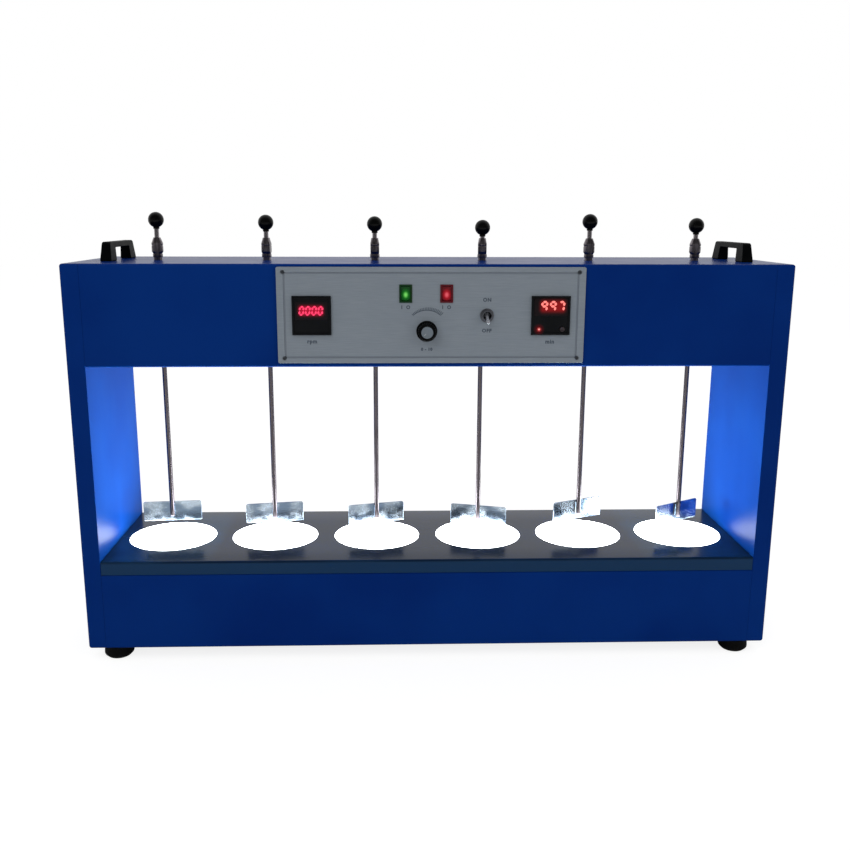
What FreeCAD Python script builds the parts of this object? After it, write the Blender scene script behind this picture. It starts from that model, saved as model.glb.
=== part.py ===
import FreeCAD
import Part
import math
import os

from FreeCAD import Vector

# Six-place jar tester: a lit base with a black deck, two hollow sides and a head that
# holds a gear train.  Front faces -Y, +Z is up, the origin is on the floor below the middle.
# All sizes are millimetres and all angles are degrees.

# ---- case ----
case_depth = 200.0
case_height = 477.0
foot_height = 17.0
side_thickness = 22.0
head_height = 120.5
deck_height = 114.5
sheet = 1.5
bend_radius = 3.0
flange_width = 12.0

# ---- fits ----
running_gap = 0.05
seat_gap = 0.02
slide_gap = 0.3

# ---- deck and lamps ----
deck_sheet = 2.0
deck_lip = 17.0
window_diameter = 112.0
window_thickness = 5.0
window_facets = 30
lamp_width = 24.0
lamp_height = 9.0
lamp_wall = 2.0
lamp_spread = 84.0
driver_length = 130.0
driver_width = 38.0
driver_height = 28.0
driver_tab = 13.0

# ---- feet ----
foot_diameter = 36.5
foot_round = 4.5
foot_hole = 12.0
foot_hole_depth = 8.0
foot_inset_x = 32.0
foot_inset_y = 20.0
foot_facets = 20

# ---- stations ----
station_count = 6
station_pitch = 135.0
end_gap = 68.5
spindle_offset = -4.0

# ---- spindles and bearings ----
turned_facets = 12
rod_diameter = 6.0
spindle_diameter = 10.0
spindle_below = 8.0
spindle_above = 14.0
collar_diameter = 16.0
collar_height = 3.0
bush_diameter = 14.0
bush_nose = 4.0
bush_rise = 2.0
floor_sheet = 2.0
top_hole_gap = 1.0

# ---- gear train ----
gear_teeth = 30
pinion_teeth = 10
gear_face = 9.0
gear_backlash = 0.7
pressure_angle = 20.0
hub_diameter = 26.0
hub_height = 16.0
pinion_direction = 50.0
motor_shaft = 8.0

# ---- gear plate and motor ----
plate_thickness = 4.0
plate_play = 2.0
plate_front = 50.0
plate_back = 95.0
plate_ear = 14.0
gearbox_diameter = 56.0
gearbox_height = 28.0
motor_diameter = 46.0
motor_height = 44.0
motor_boss = 18.0
motor_facets = 20
shaft_depth = 15.0

# ---- chucks ----
chuck_width = 14.0
chuck_flats = 10.8
chuck_collar = 12.0
chuck_lift = 3.5
chuck_collar_height = 4.0
chuck_taper = 3.0
chuck_body = 10.0
chuck_nose_height = 7.0
chuck_nose = 8.6
chuck_turn = [8.0, 82.0, 94.0, 86.0, 12.0, -10.0]

# ---- stirrers ----
knob_rise = 45.5
knob_diameter = 19.0
knob_facets = 12
knob_neck = 9.0
knob_neck_height = 1.5
knob_socket = 8.0
blade_width = 75.0
blade_height = 26.0
blade_sheet = 1.5
blade_corner = 2.0
blade_rise = 31.0
rod_past_blade = 6.5
stirrer_lift = [3.5, 0.5, -1.0, -5.0, 2.5, -2.0]
blade_turn = [5.0, 9.0, 14.0, -16.0, 24.0, 30.0]

# ---- control panel ----
panel_width = 360.0
panel_height = 112.0
panel_rise = 1.0
panel_thickness = 3.0
panel_rim_width = 8.0
panel_rim_height = 6.0
panel_recess = 0.8
panel_corner = 2.0
panel_overlap = 12.0

# ---- displays ----
display_size = 45.5
display_bezel = 4.0
display_body = 43.0
display_depth = 68.0
display_window_width = 40.4
display_window_height = 40.4
display_window_depth = 1.2
display_spread = 279.6
key_diameter = 6.0
key_spread = 27.4
key_drop = 16.0
key_proud = 1.2
key_travel = 0.8
key_stem = 3.0
key_foot = 7.6
key_foot_thickness = 1.0

# ---- rocker switches ----
rocker_width = 15.0
rocker_height = 21.0
rocker_rim = 2.0
rocker_step = 1.0
rocker_lip = 1.5
rocker_depth = 17.0
rocker_pivot_depth = 0.5
rocker_front = 3.4
rocker_dip = 1.6
rocker_back = 5.0
rocker_room = 8.0
rocker_tilt = 11.0
rocker_pin = 2.4
rocker_pin_length = 1.0
rocker_pin_facets = 8
rocker_rise = 25.4
green_rocker_x = -30.2
red_rocker_x = 17.5

# ---- speed knob ----
dial_x = -5.5
dial_drop = 18.4
dial_diameter = 24.6
dial_skirt = 3.0
dial_height = 15.0
dial_grip_diameter = 21.0
dial_flutes = 24
dial_flute_depth = 0.8
dial_facets = 32
dial_cap_diameter = 13.8
dial_cap_sink = 1.0
dial_cap_proud = 0.5
dial_gap = 0.5
dial_shaft = 6.0
dial_shaft_depth = 14.0

# ---- toggle switch ----
toggle_x = 65.0
toggle_nut = 15.6
toggle_nut_height = 3.0
toggle_bush = 12.0
toggle_bush_height = 6.0
toggle_mouth = 9.8
toggle_bore = 5.0
toggle_bore_depth = 4.0
toggle_ball = 4.2
toggle_lever_length = 21.0
toggle_lever_root = 3.0
toggle_lever_end = 4.4
toggle_tilt = 20.0
toggle_body_width = 13.0
toggle_body_height = 26.0
toggle_body_depth = 20.0

# ---- speed board ----
board_width = 104.0
board_height = 54.0
board_thickness = 1.6
board_stand = 24.0
board_spacer = 7.0
board_spacer_inset = 6.0
board_spacer_facets = 8
pot_diameter = 16.0
sink_width = 46.0
sink_depth = 16.0
sink_fin = 2.0
sink_fins = 6

# ---- carry handles ----
handle_length = 112.0
handle_top = 100.0
handle_width = 14.0
handle_top_width = 10.0
handle_height = 23.0
handle_bar = 7.0
handle_leg = 25.0
handle_opening_top = 58.0
handle_round = 4.0
handle_inset = 39.0
handle_shift = 6.5

# ---- mains inlet and vents ----
inlet_inset = 106.0
inlet_height = 56.0
inlet_flange_width = 31.0
inlet_flange_height = 24.0
inlet_flange = 2.5
inlet_body_width = 27.0
inlet_body_height = 20.0
inlet_depth = 20.0
inlet_well_width = 23.0
inlet_well_height = 16.0
inlet_well_depth = 17.5
inlet_chamfer = 4.0
pin_pitch = 7.0
pin_width = 4.0
pin_thickness = 2.0
pin_length = 12.0
vent_count = 8
vent_width = 4.0
vent_height = 40.0
vent_pitch = 11.0
cable_window = 50.0
gear_room = 6.0

# ---- places worked out from the sizes above ----
station_x = [(i - (station_count - 1) / 2) * station_pitch for i in range(station_count)]
inner_half = station_x[-1] + end_gap
case_width = 2 * (inner_half + side_thickness)
inlet_x = inner_half - inlet_inset

toggle_reach = toggle_lever_length * math.cos(math.radians(toggle_tilt))
toggle_reach += toggle_lever_end / 4 * math.cos(math.pi / turned_facets) * math.sin(math.radians(toggle_tilt))
front_reach = panel_thickness - panel_recess + toggle_reach
case_y = (front_reach - inlet_flange) / 2
front = case_y - case_depth / 2
back = case_y + case_depth / 2
case_top = foot_height + case_height
head_bottom = case_top - head_height
deck_top = foot_height + deck_height
base_top = deck_top - deck_lip
spindle_y = case_y + spindle_offset

floor_bottom = head_bottom + sheet
floor_top = floor_bottom + floor_sheet
collar_bottom = floor_top + bush_rise
hub_bottom = collar_bottom + collar_height
plate_bottom = hub_bottom + hub_height + plate_play
plate_top = plate_bottom + plate_thickness
gear_module = station_pitch / gear_teeth
gear_tip = station_pitch / 2 + gear_module
spindle_top = case_top + spindle_above
chuck_bottom = case_top + chuck_lift

panel_z = head_bottom + head_height / 2 + panel_rise
panel_front = front - panel_thickness
field = panel_front + panel_recess
dial_z = panel_z - dial_drop
rocker_z = panel_z + rocker_rise
rocker_axis = field + rocker_pivot_depth
display_x = [-display_spread / 2, display_spread / 2]
key_face = field - display_bezel + display_window_depth


def box(x0, x1, y0, y1, z0, z1):
    return Part.makeBox(x1 - x0, y1 - y0, z1 - z0, Vector(x0, y0, z0))


def slab(points, push):
    """Flat outline pushed out to a solid."""
    return Part.Face(Part.makePolygon(points + [points[0]])).extrude(push)


def turned(profile, facets=turned_facets, turn=0.0):
    """Faceted turning about +Z from (diameter, height) pairs; its corners lie on the diameters."""
    rings = []
    for diameter, z in profile:
        angles = [math.radians(turn) + 2 * math.pi * (k + 0.5) / facets for k in range(facets)]
        rings.append([Vector(diameter / 2 * math.cos(a), diameter / 2 * math.sin(a), z) for a in angles])
    faces = [Part.Face(Part.makePolygon(ring + [ring[0]])) for ring in (rings[0][::-1], rings[-1])]
    for low, high in zip(rings, rings[1:]):
        for k in range(facets):
            n = (k + 1) % facets
            faces.append(Part.Face(Part.makePolygon([low[k], low[n], high[n], high[k], low[k]])))
    return Part.Solid(Part.Shell(faces)).removeSplitter()


def round_bar(diameter, z0, z1, facets=turned_facets, turn=0.0):
    return turned([(diameter, z0), (diameter, z1)], facets, turn)


def bore(diameter, z0, z1, facets=turned_facets, turn=0.0):
    """Faceted hole whose flats, not its corners, lie on the diameter."""
    return round_bar(diameter / math.cos(math.pi / facets), z0, z1, facets, turn)


def at_station(shape, index):
    return shape.translated(Vector(station_x[index], spindle_y, 0))


def facing_front(shape, x, y, z):
    """Stands a turning on the front, its +Z pointing out along -Y from the plane y."""
    return shape.rotated(Vector(0, 0, 0), Vector(1, 0, 0), 90).translated(Vector(x, y, z))


def rounded_outline(half_a, half_b, radius, place):
    """Rounded rectangle; place(a, b) turns its flat points into points in space."""
    inset = radius * (1 - math.sqrt(0.5))
    starts, ends, edges = [], [], []
    for i, j in ((1, 1), (-1, 1), (-1, -1), (1, -1)):
        side = place(i * half_a, j * (half_b - radius))
        cap = place(i * (half_a - radius), j * half_b)
        first, last = (side, cap) if i * j > 0 else (cap, side)
        edges.append(Part.Arc(first, place(i * (half_a - inset), j * (half_b - inset)), last).toShape())
        starts.append(first)
        ends.append(last)
    joins = [Part.makeLine(ends[k], starts[(k + 1) % 4]) for k in range(4)]
    return Part.Wire([edge for pair in zip(edges, joins) for edge in pair])


def bar_along_x(y0, y1, z0, z1, radius, x0, x1):
    middle = Vector(x0, (y0 + y1) / 2, (z0 + z1) / 2)
    wire = rounded_outline((y1 - y0) / 2, (z1 - z0) / 2, radius, lambda a, b: middle + Vector(0, a, b))
    return Part.Face(wire).extrude(Vector(x1 - x0, 0, 0))


def plaque(x, z, width, height, radius, y0, y1):
    """Slab with rounded corners that faces the front."""
    wire = rounded_outline(width / 2, height / 2, radius, lambda a, b: Vector(x + a, y0, z + b))
    return Part.Face(wire).extrude(Vector(0, y1 - y0, 0))


def save(shape, name):
    if len(shape.Solids) == 1:
        shape = shape.Solids[0]
    shape.exportStep("parts/" + name + ".step")


def folded_channel(z0, z1, slot_z0, slot_z1):
    """Painted sheet folded to a channel along X, with flanges beside its open slot."""
    skin = bar_along_x(front, back, z0, z1, bend_radius, -inner_half, inner_half)
    inner = bend_radius - sheet
    hollow = bar_along_x(
        front + sheet, back - sheet, z0 + sheet, z1 - sheet, inner, -inner_half, inner_half
    )
    slot = box(-inner_half, inner_half, front + flange_width, back - flange_width, slot_z0, slot_z1)
    return skin.cut(hollow).cut(slot)


def head_shell():
    shell = folded_channel(head_bottom, case_top, head_bottom, floor_bottom)
    for i in range(station_count):
        shell = shell.cut(at_station(bore(spindle_diameter + 2 * top_hole_gap, case_top - sheet, case_top), i))
    width = panel_width - 2 * panel_overlap
    height = panel_height - 2 * panel_overlap
    return shell.cut(plaque(0, panel_z, width, height, panel_corner, front, front + sheet))


def head_floor():
    half = inner_half - slide_gap
    gap = bend_radius + slide_gap
    pan = box(-half, half, front + gap, back - gap, floor_bottom, floor_top)
    for i in range(station_count):
        pan = pan.cut(at_station(round_bar(bush_diameter + 2 * seat_gap, floor_bottom, floor_top), i))
    return pan


def side_panel(side):
    """Hollow side with two windows for the wiring and a slot that the end gear's rim runs in."""
    x0, x1 = sorted((side * case_width / 2, side * inner_half))
    panel = bar_along_x(front, back, foot_height, case_top, bend_radius, x0, x1)
    inner = bend_radius - sheet
    panel = panel.cut(
        bar_along_x(
            front + sheet,
            back - sheet,
            foot_height + sheet,
            case_top - sheet,
            inner,
            x0 + sheet,
            x1 - sheet,
        )
    )
    wall = sorted((side * inner_half, side * (inner_half + sheet)))
    half = cable_window / 2
    for z in (panel_z, (foot_height + base_top) / 2):
        panel = panel.cut(box(*wall, case_y - half, case_y + half, z - half / 2, z + half / 2))
    half = math.sqrt(max(gear_tip**2 - end_gap**2, 0)) + gear_room
    z0, z1 = hub_bottom - gear_room / 2, hub_bottom + gear_face + gear_room / 2
    return panel.cut(box(*wall, spindle_y - half, spindle_y + half, z0, z1))


def base_shell():
    shell = folded_channel(foot_height, base_top, base_top - sheet, base_top)
    z = foot_height + inlet_height
    half_w = inlet_body_width / 2 + seat_gap
    half_h = inlet_body_height / 2 + seat_gap
    shell = shell.cut(box(inlet_x - half_w, inlet_x + half_w, back - sheet, back, z - half_h, z + half_h))
    for k in range(vent_count):
        x = (k - (vent_count - 1) / 2) * vent_pitch
        half_w, half_h = vent_width / 2, vent_height / 2
        shell = shell.cut(box(x - half_w, x + half_w, back - sheet, back, z - half_h, z + half_h))
    return shell


def deck_plate():
    """Black deck: a shallow tray turned over, with a hole for each lit window."""
    half = inner_half - slide_gap
    tray = bar_along_x(front, back, base_top - bend_radius, deck_top, bend_radius, -half, half)
    tray = tray.cut(box(-half, half, front, back, base_top - bend_radius, base_top))
    tray = tray.cut(box(-half, half, front + deck_sheet, back - deck_sheet, base_top, deck_top - deck_sheet))
    for i in range(station_count):
        hole = round_bar(window_diameter, deck_top - deck_sheet, deck_top, window_facets)
        tray = tray.cut(at_station(hole, i))
    return tray


def light_windows():
    """Opal discs set flush in the deck."""
    disc = round_bar(window_diameter - 2 * seat_gap, deck_top - window_thickness, deck_top, window_facets)
    return Part.makeCompound([at_station(disc, i) for i in range(station_count)])


def lamp_strips():
    """Two lamp channels along the floor of the base, each open at the top."""
    strips = []
    z = foot_height + sheet
    half = inner_half - side_thickness
    for side in (-1, 1):
        y = case_y + side * lamp_spread / 2
        gutter = lamp_width / 2 - lamp_wall
        strip = box(-half, half, y - lamp_width / 2, y + lamp_width / 2, z, z + lamp_height)
        strips.append(strip.cut(box(-half, half, y - gutter, y + gutter, z + lamp_wall, z + lamp_height)))
    return Part.makeCompound(strips)


def lamp_driver():
    z = foot_height + sheet
    half_l, half_w = driver_length / 2, driver_width / 2
    case = box(-half_l, half_l, case_y - half_w, case_y + half_w, z, z + driver_height)
    top = [e for e in case.Edges if all(v.Z > z + driver_height / 2 for v in e.Vertexes)]
    tab = half_l + driver_tab
    foot = box(-tab, tab, case_y - half_w / 2, case_y + half_w / 2, z, z + lamp_wall)
    return case.makeChamfer(lamp_wall, top).fuse(foot).removeSplitter()


def rubber_feet():
    profile = [
        (foot_diameter - 2 * foot_round, 0),
        (foot_diameter, foot_round),
        (foot_diameter, foot_height),
    ]
    foot = turned(profile, foot_facets).cut(bore(foot_hole, 0, foot_hole_depth))
    x = case_width / 2 - foot_inset_x
    y = case_depth / 2 - foot_inset_y
    spots = [Vector(sx * x, case_y + sy * y, 0) for sx in (-1, 1) for sy in (-1, 1)]
    return Part.makeCompound([foot.translated(spot) for spot in spots])


def involute(angle):
    return math.tan(angle) - angle


def tooth_half_angle(radius, teeth):
    """Half the angle that a tooth fills at this radius, less its share of the backlash."""
    pitch_radius = gear_module * teeth / 2
    alpha = math.radians(pressure_angle)
    here = math.acos(min(1.0, pitch_radius * math.cos(alpha) / radius))
    thick = math.pi / (2 * teeth) - gear_backlash / (4 * pitch_radius)
    return thick + involute(alpha) - involute(here)


def toothed_disc(teeth, turn, z0, z1):
    """Toothed disc whose straight-sided teeth have their corners on the involute."""
    pitch_radius = gear_module * teeth / 2
    tip, root = pitch_radius + gear_module, pitch_radius - 1.25 * gear_module
    base = pitch_radius * math.cos(math.radians(pressure_angle))
    half_tip = tooth_half_angle(tip, teeth)
    half_root = tooth_half_angle(max(root, base), teeth)
    points = []
    for k in range(teeth):
        centre = math.radians(turn) + 2 * math.pi * k / teeth
        for radius, angle in ((root, -half_root), (tip, -half_tip), (tip, half_tip), (root, half_root)):
            a = centre + angle
            points.append(Vector(radius * math.cos(a), radius * math.sin(a), z0))
    return slab(points, Vector(0, 0, z1 - z0))


def gear_turn(index):
    """Neighbouring gears stand half a tooth apart, so that they mesh."""
    return 180.0 / gear_teeth * (index % 2)


def drive_gear(index):
    """Nylon gear with its hub pressed on the spindle."""
    wheel = toothed_disc(gear_teeth, gear_turn(index), hub_bottom, hub_bottom + gear_face)
    hub_top = hub_bottom + hub_height
    wheel = wheel.fuse(round_bar(hub_diameter, hub_bottom + gear_face, hub_top))
    wheel = wheel.cut(round_bar(spindle_diameter + 2 * seat_gap, hub_bottom, hub_top))
    return at_station(wheel, index)


def pinion_place():
    """Centre of the pinion, which meshes with the third gear behind its spindle."""
    reach = gear_module * (gear_teeth + pinion_teeth) / 2
    angle = math.radians(pinion_direction)
    return Vector(station_x[2] + reach * math.cos(angle), spindle_y + reach * math.sin(angle), 0)


def motor_pinion():
    """Pinion on the motor's output shaft, turned into mesh with the third gear."""
    lead = gear_teeth / pinion_teeth * (pinion_direction - gear_turn(2))
    turn = pinion_direction + 180 + 180.0 / pinion_teeth + lead
    teeth = toothed_disc(pinion_teeth, turn, hub_bottom, hub_bottom + gear_face)
    shaft = round_bar(motor_shaft, hub_bottom + gear_face, plate_top + shaft_depth)
    return teeth.fuse(shaft).removeSplitter().translated(pinion_place())


def drive_motor():
    """Geared motor standing on the gear plate, with its output shaft down through it."""
    gearbox_top = plate_top + gearbox_height
    profile = [
        (motor_boss, plate_bottom),
        (motor_boss, plate_top),
        (gearbox_diameter, plate_top),
        (gearbox_diameter, gearbox_top),
        (motor_diameter, gearbox_top),
        (motor_diameter, gearbox_top + motor_height),
    ]
    end = plate_top + shaft_depth + slide_gap
    body = turned(profile, motor_facets).cut(bore(motor_shaft + 2 * running_gap, plate_bottom, end))
    return body.translated(pinion_place())


def gear_plate():
    """Upper bearing plate with its ends turned up against the two sides."""
    y0, y1 = case_y - plate_front, case_y + plate_back
    plate = box(-inner_half, inner_half, y0, y1, plate_bottom, plate_top)
    for side in (-1, 1):
        x0, x1 = sorted((side * inner_half, side * (inner_half - plate_thickness)))
        plate = plate.fuse(box(x0, x1, y0, y1, plate_top, plate_top + plate_ear))
    plate = plate.removeSplitter()
    for i in range(station_count):
        hole = round_bar(bush_diameter + 2 * seat_gap, plate_bottom, plate_top)
        plate = plate.cut(at_station(hole, i))
    boss = round_bar(motor_boss + 2 * seat_gap, plate_bottom, plate_top, motor_facets)
    return plate.cut(boss.translated(pinion_place()))


def spindle_bearings():
    """Bushes pressed in the head floor and in the gear plate, two for each spindle."""
    bushes = []
    for z0, z1 in ((head_bottom - bush_nose, collar_bottom), (plate_bottom, plate_top)):
        bush = round_bar(bush_diameter, z0, z1).cut(bore(spindle_diameter + 2 * running_gap, z0, z1))
        bushes += [at_station(bush, i) for i in range(station_count)]
    return Part.makeCompound(bushes)


def spindle(index):
    """Hollow spindle: a collar carries it on the lower bush and the rod slides through it."""
    bottom = head_bottom - spindle_below
    profile = [
        (spindle_diameter, bottom),
        (spindle_diameter, collar_bottom),
        (collar_diameter, collar_bottom),
        (collar_diameter, hub_bottom),
        (spindle_diameter, hub_bottom),
        (spindle_diameter, spindle_top),
    ]
    tube = turned(profile).cut(bore(rod_diameter + 2 * running_gap, bottom, spindle_top))
    return at_station(tube, index)


def chuck(index):
    """Grip nut on the spindle's top, with two flats; its nose closes on the stirrer rod."""
    collar_top = chuck_bottom + chuck_collar_height
    body_bottom = collar_top + chuck_taper
    body_top = body_bottom + chuck_body
    top = body_top + chuck_nose_height
    profile = [
        (chuck_collar, chuck_bottom),
        (chuck_collar, collar_top),
        (chuck_width, body_bottom),
        (chuck_width, body_top),
        (chuck_nose, top),
    ]
    nut = turned(profile)
    for side in (-1, 1):
        y0, y1 = sorted((side * chuck_flats / 2, side * chuck_width))
        nut = nut.cut(box(-chuck_width, chuck_width, y0, y1, collar_top, top))
    nut = nut.cut(bore(spindle_diameter + 2 * running_gap, chuck_bottom, spindle_top))
    nut = nut.cut(bore(rod_diameter + 2 * running_gap, spindle_top, top))
    return at_station(nut.rotated(Vector(0, 0, 0), Vector(0, 0, 1), chuck_turn[index]), index)


def knob_centre(index):
    return case_top + knob_rise + stirrer_lift[index]


def knob_bottom(index):
    return knob_centre(index) - knob_diameter / 2 - knob_neck_height


def stirrer(index):
    """Stainless rod with its flat blade welded behind it, turned as it was clamped."""
    z = deck_top + blade_rise + stirrer_lift[index]
    low, top = z - rod_past_blade, knob_bottom(index) + knob_socket
    stem = Part.makeCylinder(rod_diameter / 2, top - low, Vector(0, 0, low))
    y = rod_diameter / 2 - blade_sheet / 2
    half_w, half_h, c = blade_width / 2, blade_height / 2, blade_corner
    flat = [
        (-half_w, -half_h),
        (half_w, -half_h),
        (half_w, half_h - c),
        (half_w - c, half_h),
        (c - half_w, half_h),
        (-half_w, half_h - c),
    ]
    blade = slab([Vector(a, y, z + b) for a, b in flat], Vector(0, blade_sheet, 0))
    whole = stem.fuse(blade).removeSplitter()
    return at_station(whole.rotated(Vector(0, 0, 0), Vector(0, 0, 1), blade_turn[index]), index)


def lift_knob(index):
    """Ball knob on the rod's top end, with a short neck."""
    z, r = knob_centre(index), knob_diameter / 2
    profile = [(knob_neck, knob_bottom(index))]
    for angle in (-60, -30, 0, 30, 60):
        a = math.radians(angle)
        profile.append((knob_diameter * math.cos(a), z + r * math.sin(a)))
    profile.append((knob_neck / 2, z + r))
    ball = turned(profile, knob_facets)
    socket = bore(rod_diameter + 2 * seat_gap, knob_bottom(index), knob_bottom(index) + knob_socket)
    return at_station(ball.cut(socket), index)


def front_hole(diameter, x, z, facets=turned_facets):
    """Faceted hole right through the control panel."""
    return facing_front(round_bar(diameter, 0, panel_thickness, facets), x, front, z)


def control_panel():
    """Anodised plate with a raised rim round a sunk field that carries the controls."""
    plate = plaque(0, panel_z, panel_width, panel_height, panel_corner, panel_front, front)
    half_w, half_h = panel_width / 2 - panel_rim_width, panel_height / 2 - panel_rim_height
    plate = plate.cut(box(-half_w, half_w, panel_front, field, panel_z - half_h, panel_z + half_h))
    half = display_body / 2 + seat_gap
    for x in display_x:
        plate = plate.cut(box(x - half, x + half, panel_front, front, panel_z - half, panel_z + half))
    half_w = rocker_width / 2 - rocker_step + seat_gap
    half_h = rocker_height / 2 - rocker_step + seat_gap
    for x in (green_rocker_x, red_rocker_x):
        plate = plate.cut(box(x - half_w, x + half_w, panel_front, front, rocker_z - half_h, rocker_z + half_h))
    plate = plate.cut(front_hole(dial_shaft / math.cos(math.pi / turned_facets) + 2 * running_gap, dial_x, dial_z))
    return plate.cut(front_hole(toggle_bush + 2 * seat_gap, toggle_x, panel_z))


def display_housing(x):
    """Square panel meter: a chamfered bezel with a sunk window and a body behind."""
    half = display_size / 2
    bezel = box(x - half, x + half, field - display_bezel, field, panel_z - half, panel_z + half)
    rim = [e for e in bezel.Edges if all(v.Y < field - display_bezel / 2 for v in e.Vertexes)]
    bezel = bezel.makeChamfer(display_window_depth, rim)
    half = display_body / 2
    body = box(x - half, x + half, field, field + display_depth, panel_z - half, panel_z + half)
    half_w, half_h = display_window_width / 2, display_window_height / 2
    window = box(x - half_w, x + half_w, field - display_bezel, key_face, panel_z - half_h, panel_z + half_h)
    return bezel.fuse(body).removeSplitter().cut(window)


def key_spots():
    return [(display_x[1] + side * key_spread / 2, panel_z - key_drop) for side in (-1, 1)]


def timer_display():
    """Timer housing with a stepped well for each of its two keys."""
    mouth, well = key_diameter + 2 * slide_gap, key_foot + 2 * slide_gap
    depth = key_stem + key_foot_thickness + key_travel + slide_gap
    cavity = turned([(well, -depth), (well, -key_stem), (mouth, -key_stem), (mouth, 0)])
    whole = display_housing(display_x[1])
    for x, z in key_spots():
        whole = whole.cut(facing_front(cavity, x, key_face, z))
    return whole


def timer_key(spot):
    """Push key held in its well by the wider foot behind it."""
    x, z = spot
    profile = [
        (key_foot, -key_stem - key_foot_thickness),
        (key_foot, -key_stem),
        (key_diameter, -key_stem),
        (key_diameter, key_proud),
    ]
    return facing_front(turned(profile), x, key_face, z)


def rocker_half_width():
    return rocker_width / 2 - rocker_rim - slide_gap


def rocker_pin_bar(diameter, reach, x):
    """Bar across the switch on the rocker's axis."""
    bar = round_bar(diameter, -reach, reach, rocker_pin_facets)
    return bar.rotated(Vector(0, 0, 0), Vector(0, 1, 0), 90).translated(Vector(x, rocker_axis, rocker_z))


def rocker_housings():
    """Snap-in switch bodies, each open in front for its rocker."""
    housings = []
    for x in (green_rocker_x, red_rocker_x):
        half_w, half_h = rocker_width / 2, rocker_height / 2
        lip = box(x - half_w, x + half_w, field - rocker_lip, field, rocker_z - half_h, rocker_z + half_h)
        half_w, half_h = half_w - rocker_step, half_h - rocker_step
        body = box(x - half_w, x + half_w, field, field + rocker_depth, rocker_z - half_h, rocker_z + half_h)
        half_w, half_h = rocker_width / 2 - rocker_rim, rocker_height / 2 - rocker_rim
        end = rocker_axis + rocker_room
        room = box(x - half_w, x + half_w, field - rocker_lip, end, rocker_z - half_h, rocker_z + half_h)
        hole = (rocker_pin + 2 * running_gap) / math.cos(math.pi / rocker_pin_facets)
        reach = rocker_half_width() + rocker_pin_length + running_gap
        housing = lip.fuse(body).removeSplitter().cut(room)
        housings.append(housing.cut(rocker_pin_bar(hole, reach, x)))
    return Part.makeCompound(housings)


def rocker(x):
    """Rocker with a dipped front and ends that follow its swing, pressed in at the top."""
    half = rocker_half_width()
    swing = rocker_height / 2 - rocker_rim - slide_gap
    edge = math.degrees(math.acos(rocker_front / swing))
    upper = [(swing * math.cos(math.radians(a)), swing * math.sin(math.radians(a))) for a in (edge, 80, 95, 110)]
    rise = upper[0][1]
    front_curve = []
    for k in range(1, 6):
        share = 1 - k / 3
        front_curve.append((rocker_front - rocker_dip * (1 - share * share), rise * share))
    rear = [(-rocker_back, swing / 2), (-rocker_back, -swing / 2)]
    flat = list(reversed(upper)) + front_curve + [(out, -up) for out, up in upper] + rear[::-1]
    points = [Vector(x - half, rocker_axis - out, rocker_z + up) for out, up in flat]
    body = slab(points, Vector(2 * half, 0, 0))
    whole = body.fuse(rocker_pin_bar(rocker_pin, half + rocker_pin_length, x)).removeSplitter()
    return whole.rotated(Vector(x, rocker_axis, rocker_z), Vector(1, 0, 0), -rocker_tilt)


def speed_knob():
    """Skirted knob with a fluted grip and its moulded shaft, which ends in the control."""
    points = []
    for k in range(2 * dial_flutes):
        radius = dial_grip_diameter / 2 - (k % 2) * dial_flute_depth
        a = math.pi * k / dial_flutes
        points.append(Vector(radius * math.cos(a), radius * math.sin(a), dial_skirt))
    grip = slab(points, Vector(0, 0, dial_height - dial_skirt))
    knob = round_bar(dial_diameter, 0, dial_skirt, dial_facets).fuse(grip)
    cap_well = round_bar(dial_cap_diameter + 2 * seat_gap, dial_height - dial_cap_sink, dial_height, dial_flutes)
    knob = knob.cut(cap_well)
    end = -dial_gap - panel_thickness + panel_recess - dial_shaft_depth
    knob = knob.fuse(round_bar(dial_shaft, end, 0)).removeSplitter()
    return facing_front(knob, dial_x, field - dial_gap, dial_z)


def knob_cap():
    low, high = dial_height - dial_cap_sink, dial_height + dial_cap_proud
    return facing_front(round_bar(dial_cap_diameter, low, high, dial_flutes), dial_x, field - dial_gap, dial_z)


def toggle_bushing():
    """Toggle switch body with a threaded bush, its nut and a flared mouth for the lever."""
    depth = front - field
    bush = round_bar(toggle_bush, -depth, toggle_bush_height)
    nut = round_bar(toggle_nut, 0, toggle_nut_height, 6)
    mouth = [
        (toggle_bore, -toggle_bore_depth),
        (toggle_bore, 0),
        (toggle_mouth, toggle_bush_height),
    ]
    half_w, half_h = toggle_body_width / 2, toggle_body_height / 2
    body = box(-half_w, half_w, -half_h, half_h, -depth - toggle_body_depth, -depth)
    whole = bush.fuse(nut).fuse(body).removeSplitter().cut(turned(mouth))
    return facing_front(whole, toggle_x, field, panel_z)


def toggle_lever():
    """Tapered lever on a ball, resting in its lower position."""
    r, end = toggle_ball / 2, toggle_lever_end
    profile = [
        (toggle_ball / 2, -r * math.sqrt(0.75)),
        (toggle_ball, -r / 4),
        (toggle_ball, r / 4),
        (toggle_lever_root, r),
        (end, toggle_lever_length - end / 2),
        (end / 2, toggle_lever_length),
    ]
    lever = turned(profile)
    lever = facing_front(lever, toggle_x, field, panel_z)
    return lever.rotated(Vector(toggle_x, field, panel_z), Vector(1, 0, 0), toggle_tilt)


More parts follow.
